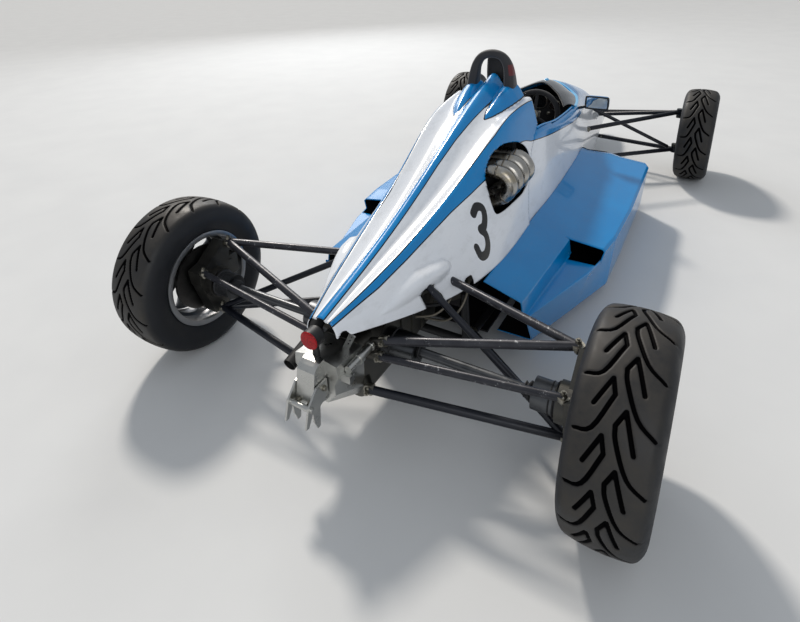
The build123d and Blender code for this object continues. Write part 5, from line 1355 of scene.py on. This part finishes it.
# Printed faces behind glass, which give a clear reflection
dial = clouded("printed_gauge_face", "#08090B", "#14161A", 40.0, Roughness=0.2, Coat_Weight=0.6)
crisp(piece("gauge_faces", *gathered(dials), dial, slot="black_plastic"))
finish_nodes(cloth("steering_wheel_suede", "#121316", "#212227", 500.0, 0.9)[0], "steering_wheel")
RAKE, BOSS_BOLTS, BOSS_RING = np.radians(22), 6, 21 * MM
hub, hub_way = np.array([0, REAR_AXLE - 1700 * MM, 545 * MM]), np.array([0, np.cos(RAKE), np.sin(RAKE)])
side_way, up_way = np.array([1.0, 0, 0]), np.cross(hub_way, [1.0, 0, 0])
boss = [spun(hub, hub_way, capped((15, 26), (22, 26), (22, 16), (30, 15)), 40)]
for turn in np.arange(BOSS_BOLTS) * 2 * pi / BOSS_BOLTS:
    at = hub + BOSS_RING * (np.cos(turn) * side_way + np.sin(turn) * up_way)
    boss.append(spun(at, hub_way, capped((21, 3), (25, 3)), 6))
crisp(piece("steering_boss", *gathered(boss), bolt_steel, "steering_wheel", "bright_steel"))

# Windscreen and mirrors
# A strip of smoked acrylic, heated and bent round the front of the cockpit, with a rubber trim on its free
# edge, and a pale blue band along its foot, with a small peak in its middle, that is a painted highlight. The
# mirrors are flat glass in rounded housings on short stalks.

COVER_FRONT, COCKPIT = REAR_AXLE - 1080 * MM, 970 * MM
# From the left end to the middle, in metres. Columns: x, share of the cockpit's length and z of the free
# edge, then the same of the foot
SCREEN = np.array([
    (0.168, 0.579, 0.622, 0.204, 0.675, 0.602), (0.140, 0.629, 0.642, 0.184, 0.794, 0.606),
    (0.093, 0.693, 0.668, 0.138, 0.892, 0.622), (0, 0.765, 0.696, 0, 0.979, 0.661),
])
SCREEN_UP, SCREEN_WALL, SCREEN_BELLY = 16, 3 * MM, 12 * MM * np.array([0, -0.3, 1.0])
TRIM_HALF, FOOT_HALF, FOOT_RISE, PEAK_AT, PEAK_Z = 3.5 * MM, 11 * MM, [0, 0, 2 * MM], 0.85, 676 * MM
rows = curved(np.concatenate([SCREEN, SCREEN[-2::-1] * [-1, 1, 1, -1, 1, 1]]), 14)
free, foot = (
    np.stack([rows[:, k], COVER_FRONT - rows[:, k + 1] * COCKPIT, rows[:, k + 2]], axis=1) for k in (0, 3)
)
# The sheet is straight from foot to free edge, plus a belly that is a sine of the way up
t = np.linspace(0, 1, SCREEN_UP)[None, :, None]
sheet = foot[:, None] * (1 - t) + free[:, None] * t + np.sin(t * pi) * SCREEN_BELLY
smoked = clouded(
    "smoked_acrylic", "#2A3340", "#414B58", 25.0, 4.0,
    Roughness=0.03, IOR=1.49, Transmission_Weight=0.85, Coat_Weight=1.0, Coat_Roughness=0.02,
)
faces = quads(len(rows), SCREEN_UP)
screen = piece("windscreen_sheet", sheet, faces, smoked, slot="screen", replaces=["windscreen"])
thickened(screen, SCREEN_WALL, 0.0)
trim = tube(free, TRIM_HALF, 12, 1.0, (0.1, 0.2, 1))
piece("windscreen_trim", *trim, boot_rubber, slot="black_plastic")
# The band along the screen's foot and the peak in its middle are pale blue: a painted highlight where light
# catches the cockpit's rim
moulding = tube(foot + FOOT_RISE, FOOT_HALF, 16, 0.5, (0.05, 0.1, 1))
peak_at = (0, COVER_FRONT - PEAK_AT * COCKPIT, PEAK_Z)
peak = spun(peak_at, (0, 0, 1), capped((-4, 24), (12, 20), (26, 8), tip=30), 24)
painted_highlight_blue = clouded("pale_blue_painted_highlight", "#55AEE6", "#7CC4F0", 12.0, Roughness=0.25, Coat_Weight=0.8)
piece("screen_foot_painted_highlight", *gathered([moulding, peak]), painted_highlight_blue, slot="blue_paint")

MIRROR_AT = np.array([297 * MM, REAR_AXLE - 1835 * MM, 610 * MM])
MIRROR_HALF, HOUSING_CORNER, HOUSING_CROWN = MM * np.array([58, 23, 32]), 15 * MM, 1 * MM
GLASS_HALF, GLASS_CORNER, GLASS_BACK = MM * np.array([53, 2, 28]), 1.9 * MM, 16.5 * MM
# The frame's outline. Columns: x, z
FRAME_EDGE, FRAME_HALF, FRAME_BACK = MM * np.array([
    (-56, -24), (-44, -31), (44, -31), (56, -24), (56, 24), (44, 31), (-44, 31), (-56, 24),
]), 4.5 * MM, 17 * MM
# Columns: x, y from the mirror, z
STALK, STALK_HALF = MM * np.array([(195, 0, 568), (240, -2, 583), (272, -4, 592)]), 7.5 * MM
mirror_black = metal("moulded_mirror_black", "#0E0F11", "#1A1B1E", 0.35, 350.0, 0.1, metallic=0.0)
# Silvered behind flat glass, which reflects almost as sharply as metal can
glass = clouded("silvered_mirror_glass", "#B9C2C8", "#D3DADD", 30.0, Metallic=1.0, Roughness=0.03)
edge = rounded(FRAME_EDGE)
edge = np.concatenate([edge, edge[:1]])
edge = np.stack([edge[:, 0], np.full(len(edge), FRAME_BACK), edge[:, 1]], axis=1)
heads, stalks, plates = [], [], []
for side in (1, -1):
    at = MIRROR_AT * [side, 1, 1]
    far_corner = at + MIRROR_HALF - [0, 10 * MM, 0]
    heads.append(cushion(at - MIRROR_HALF, far_corner, HOUSING_CORNER, HOUSING_CROWN, 18))
    stalks.append(tube(at + edge, FRAME_HALF, 12, 1.3, (0, 1, 0)))
    stalk = curved(STALK * [side, 1, 1] + [0, MIRROR_AT[1], 0], 5)
    stalks.append(tube(stalk, STALK_HALF, 16, 0.7, (0, 1, 0)))
    plate_at = at + [0, GLASS_BACK, 0]
    plates.append(cushion(plate_at - GLASS_HALF, plate_at + GLASS_HALF, GLASS_CORNER, 0.0, 8))
points, faces = gathered(heads)
marks = all_blue(len(points))
piece("mirror_housings", points, faces, paint, slot="blue_paint", replaces=["mirrors"], **marks)
crisp(piece("mirror_frames", *gathered(stalks), mirror_black, slot="black_plastic"), 1.0)
crisp(piece("mirror_glass", *gathered(plates), glass, slot="bright_steel"))
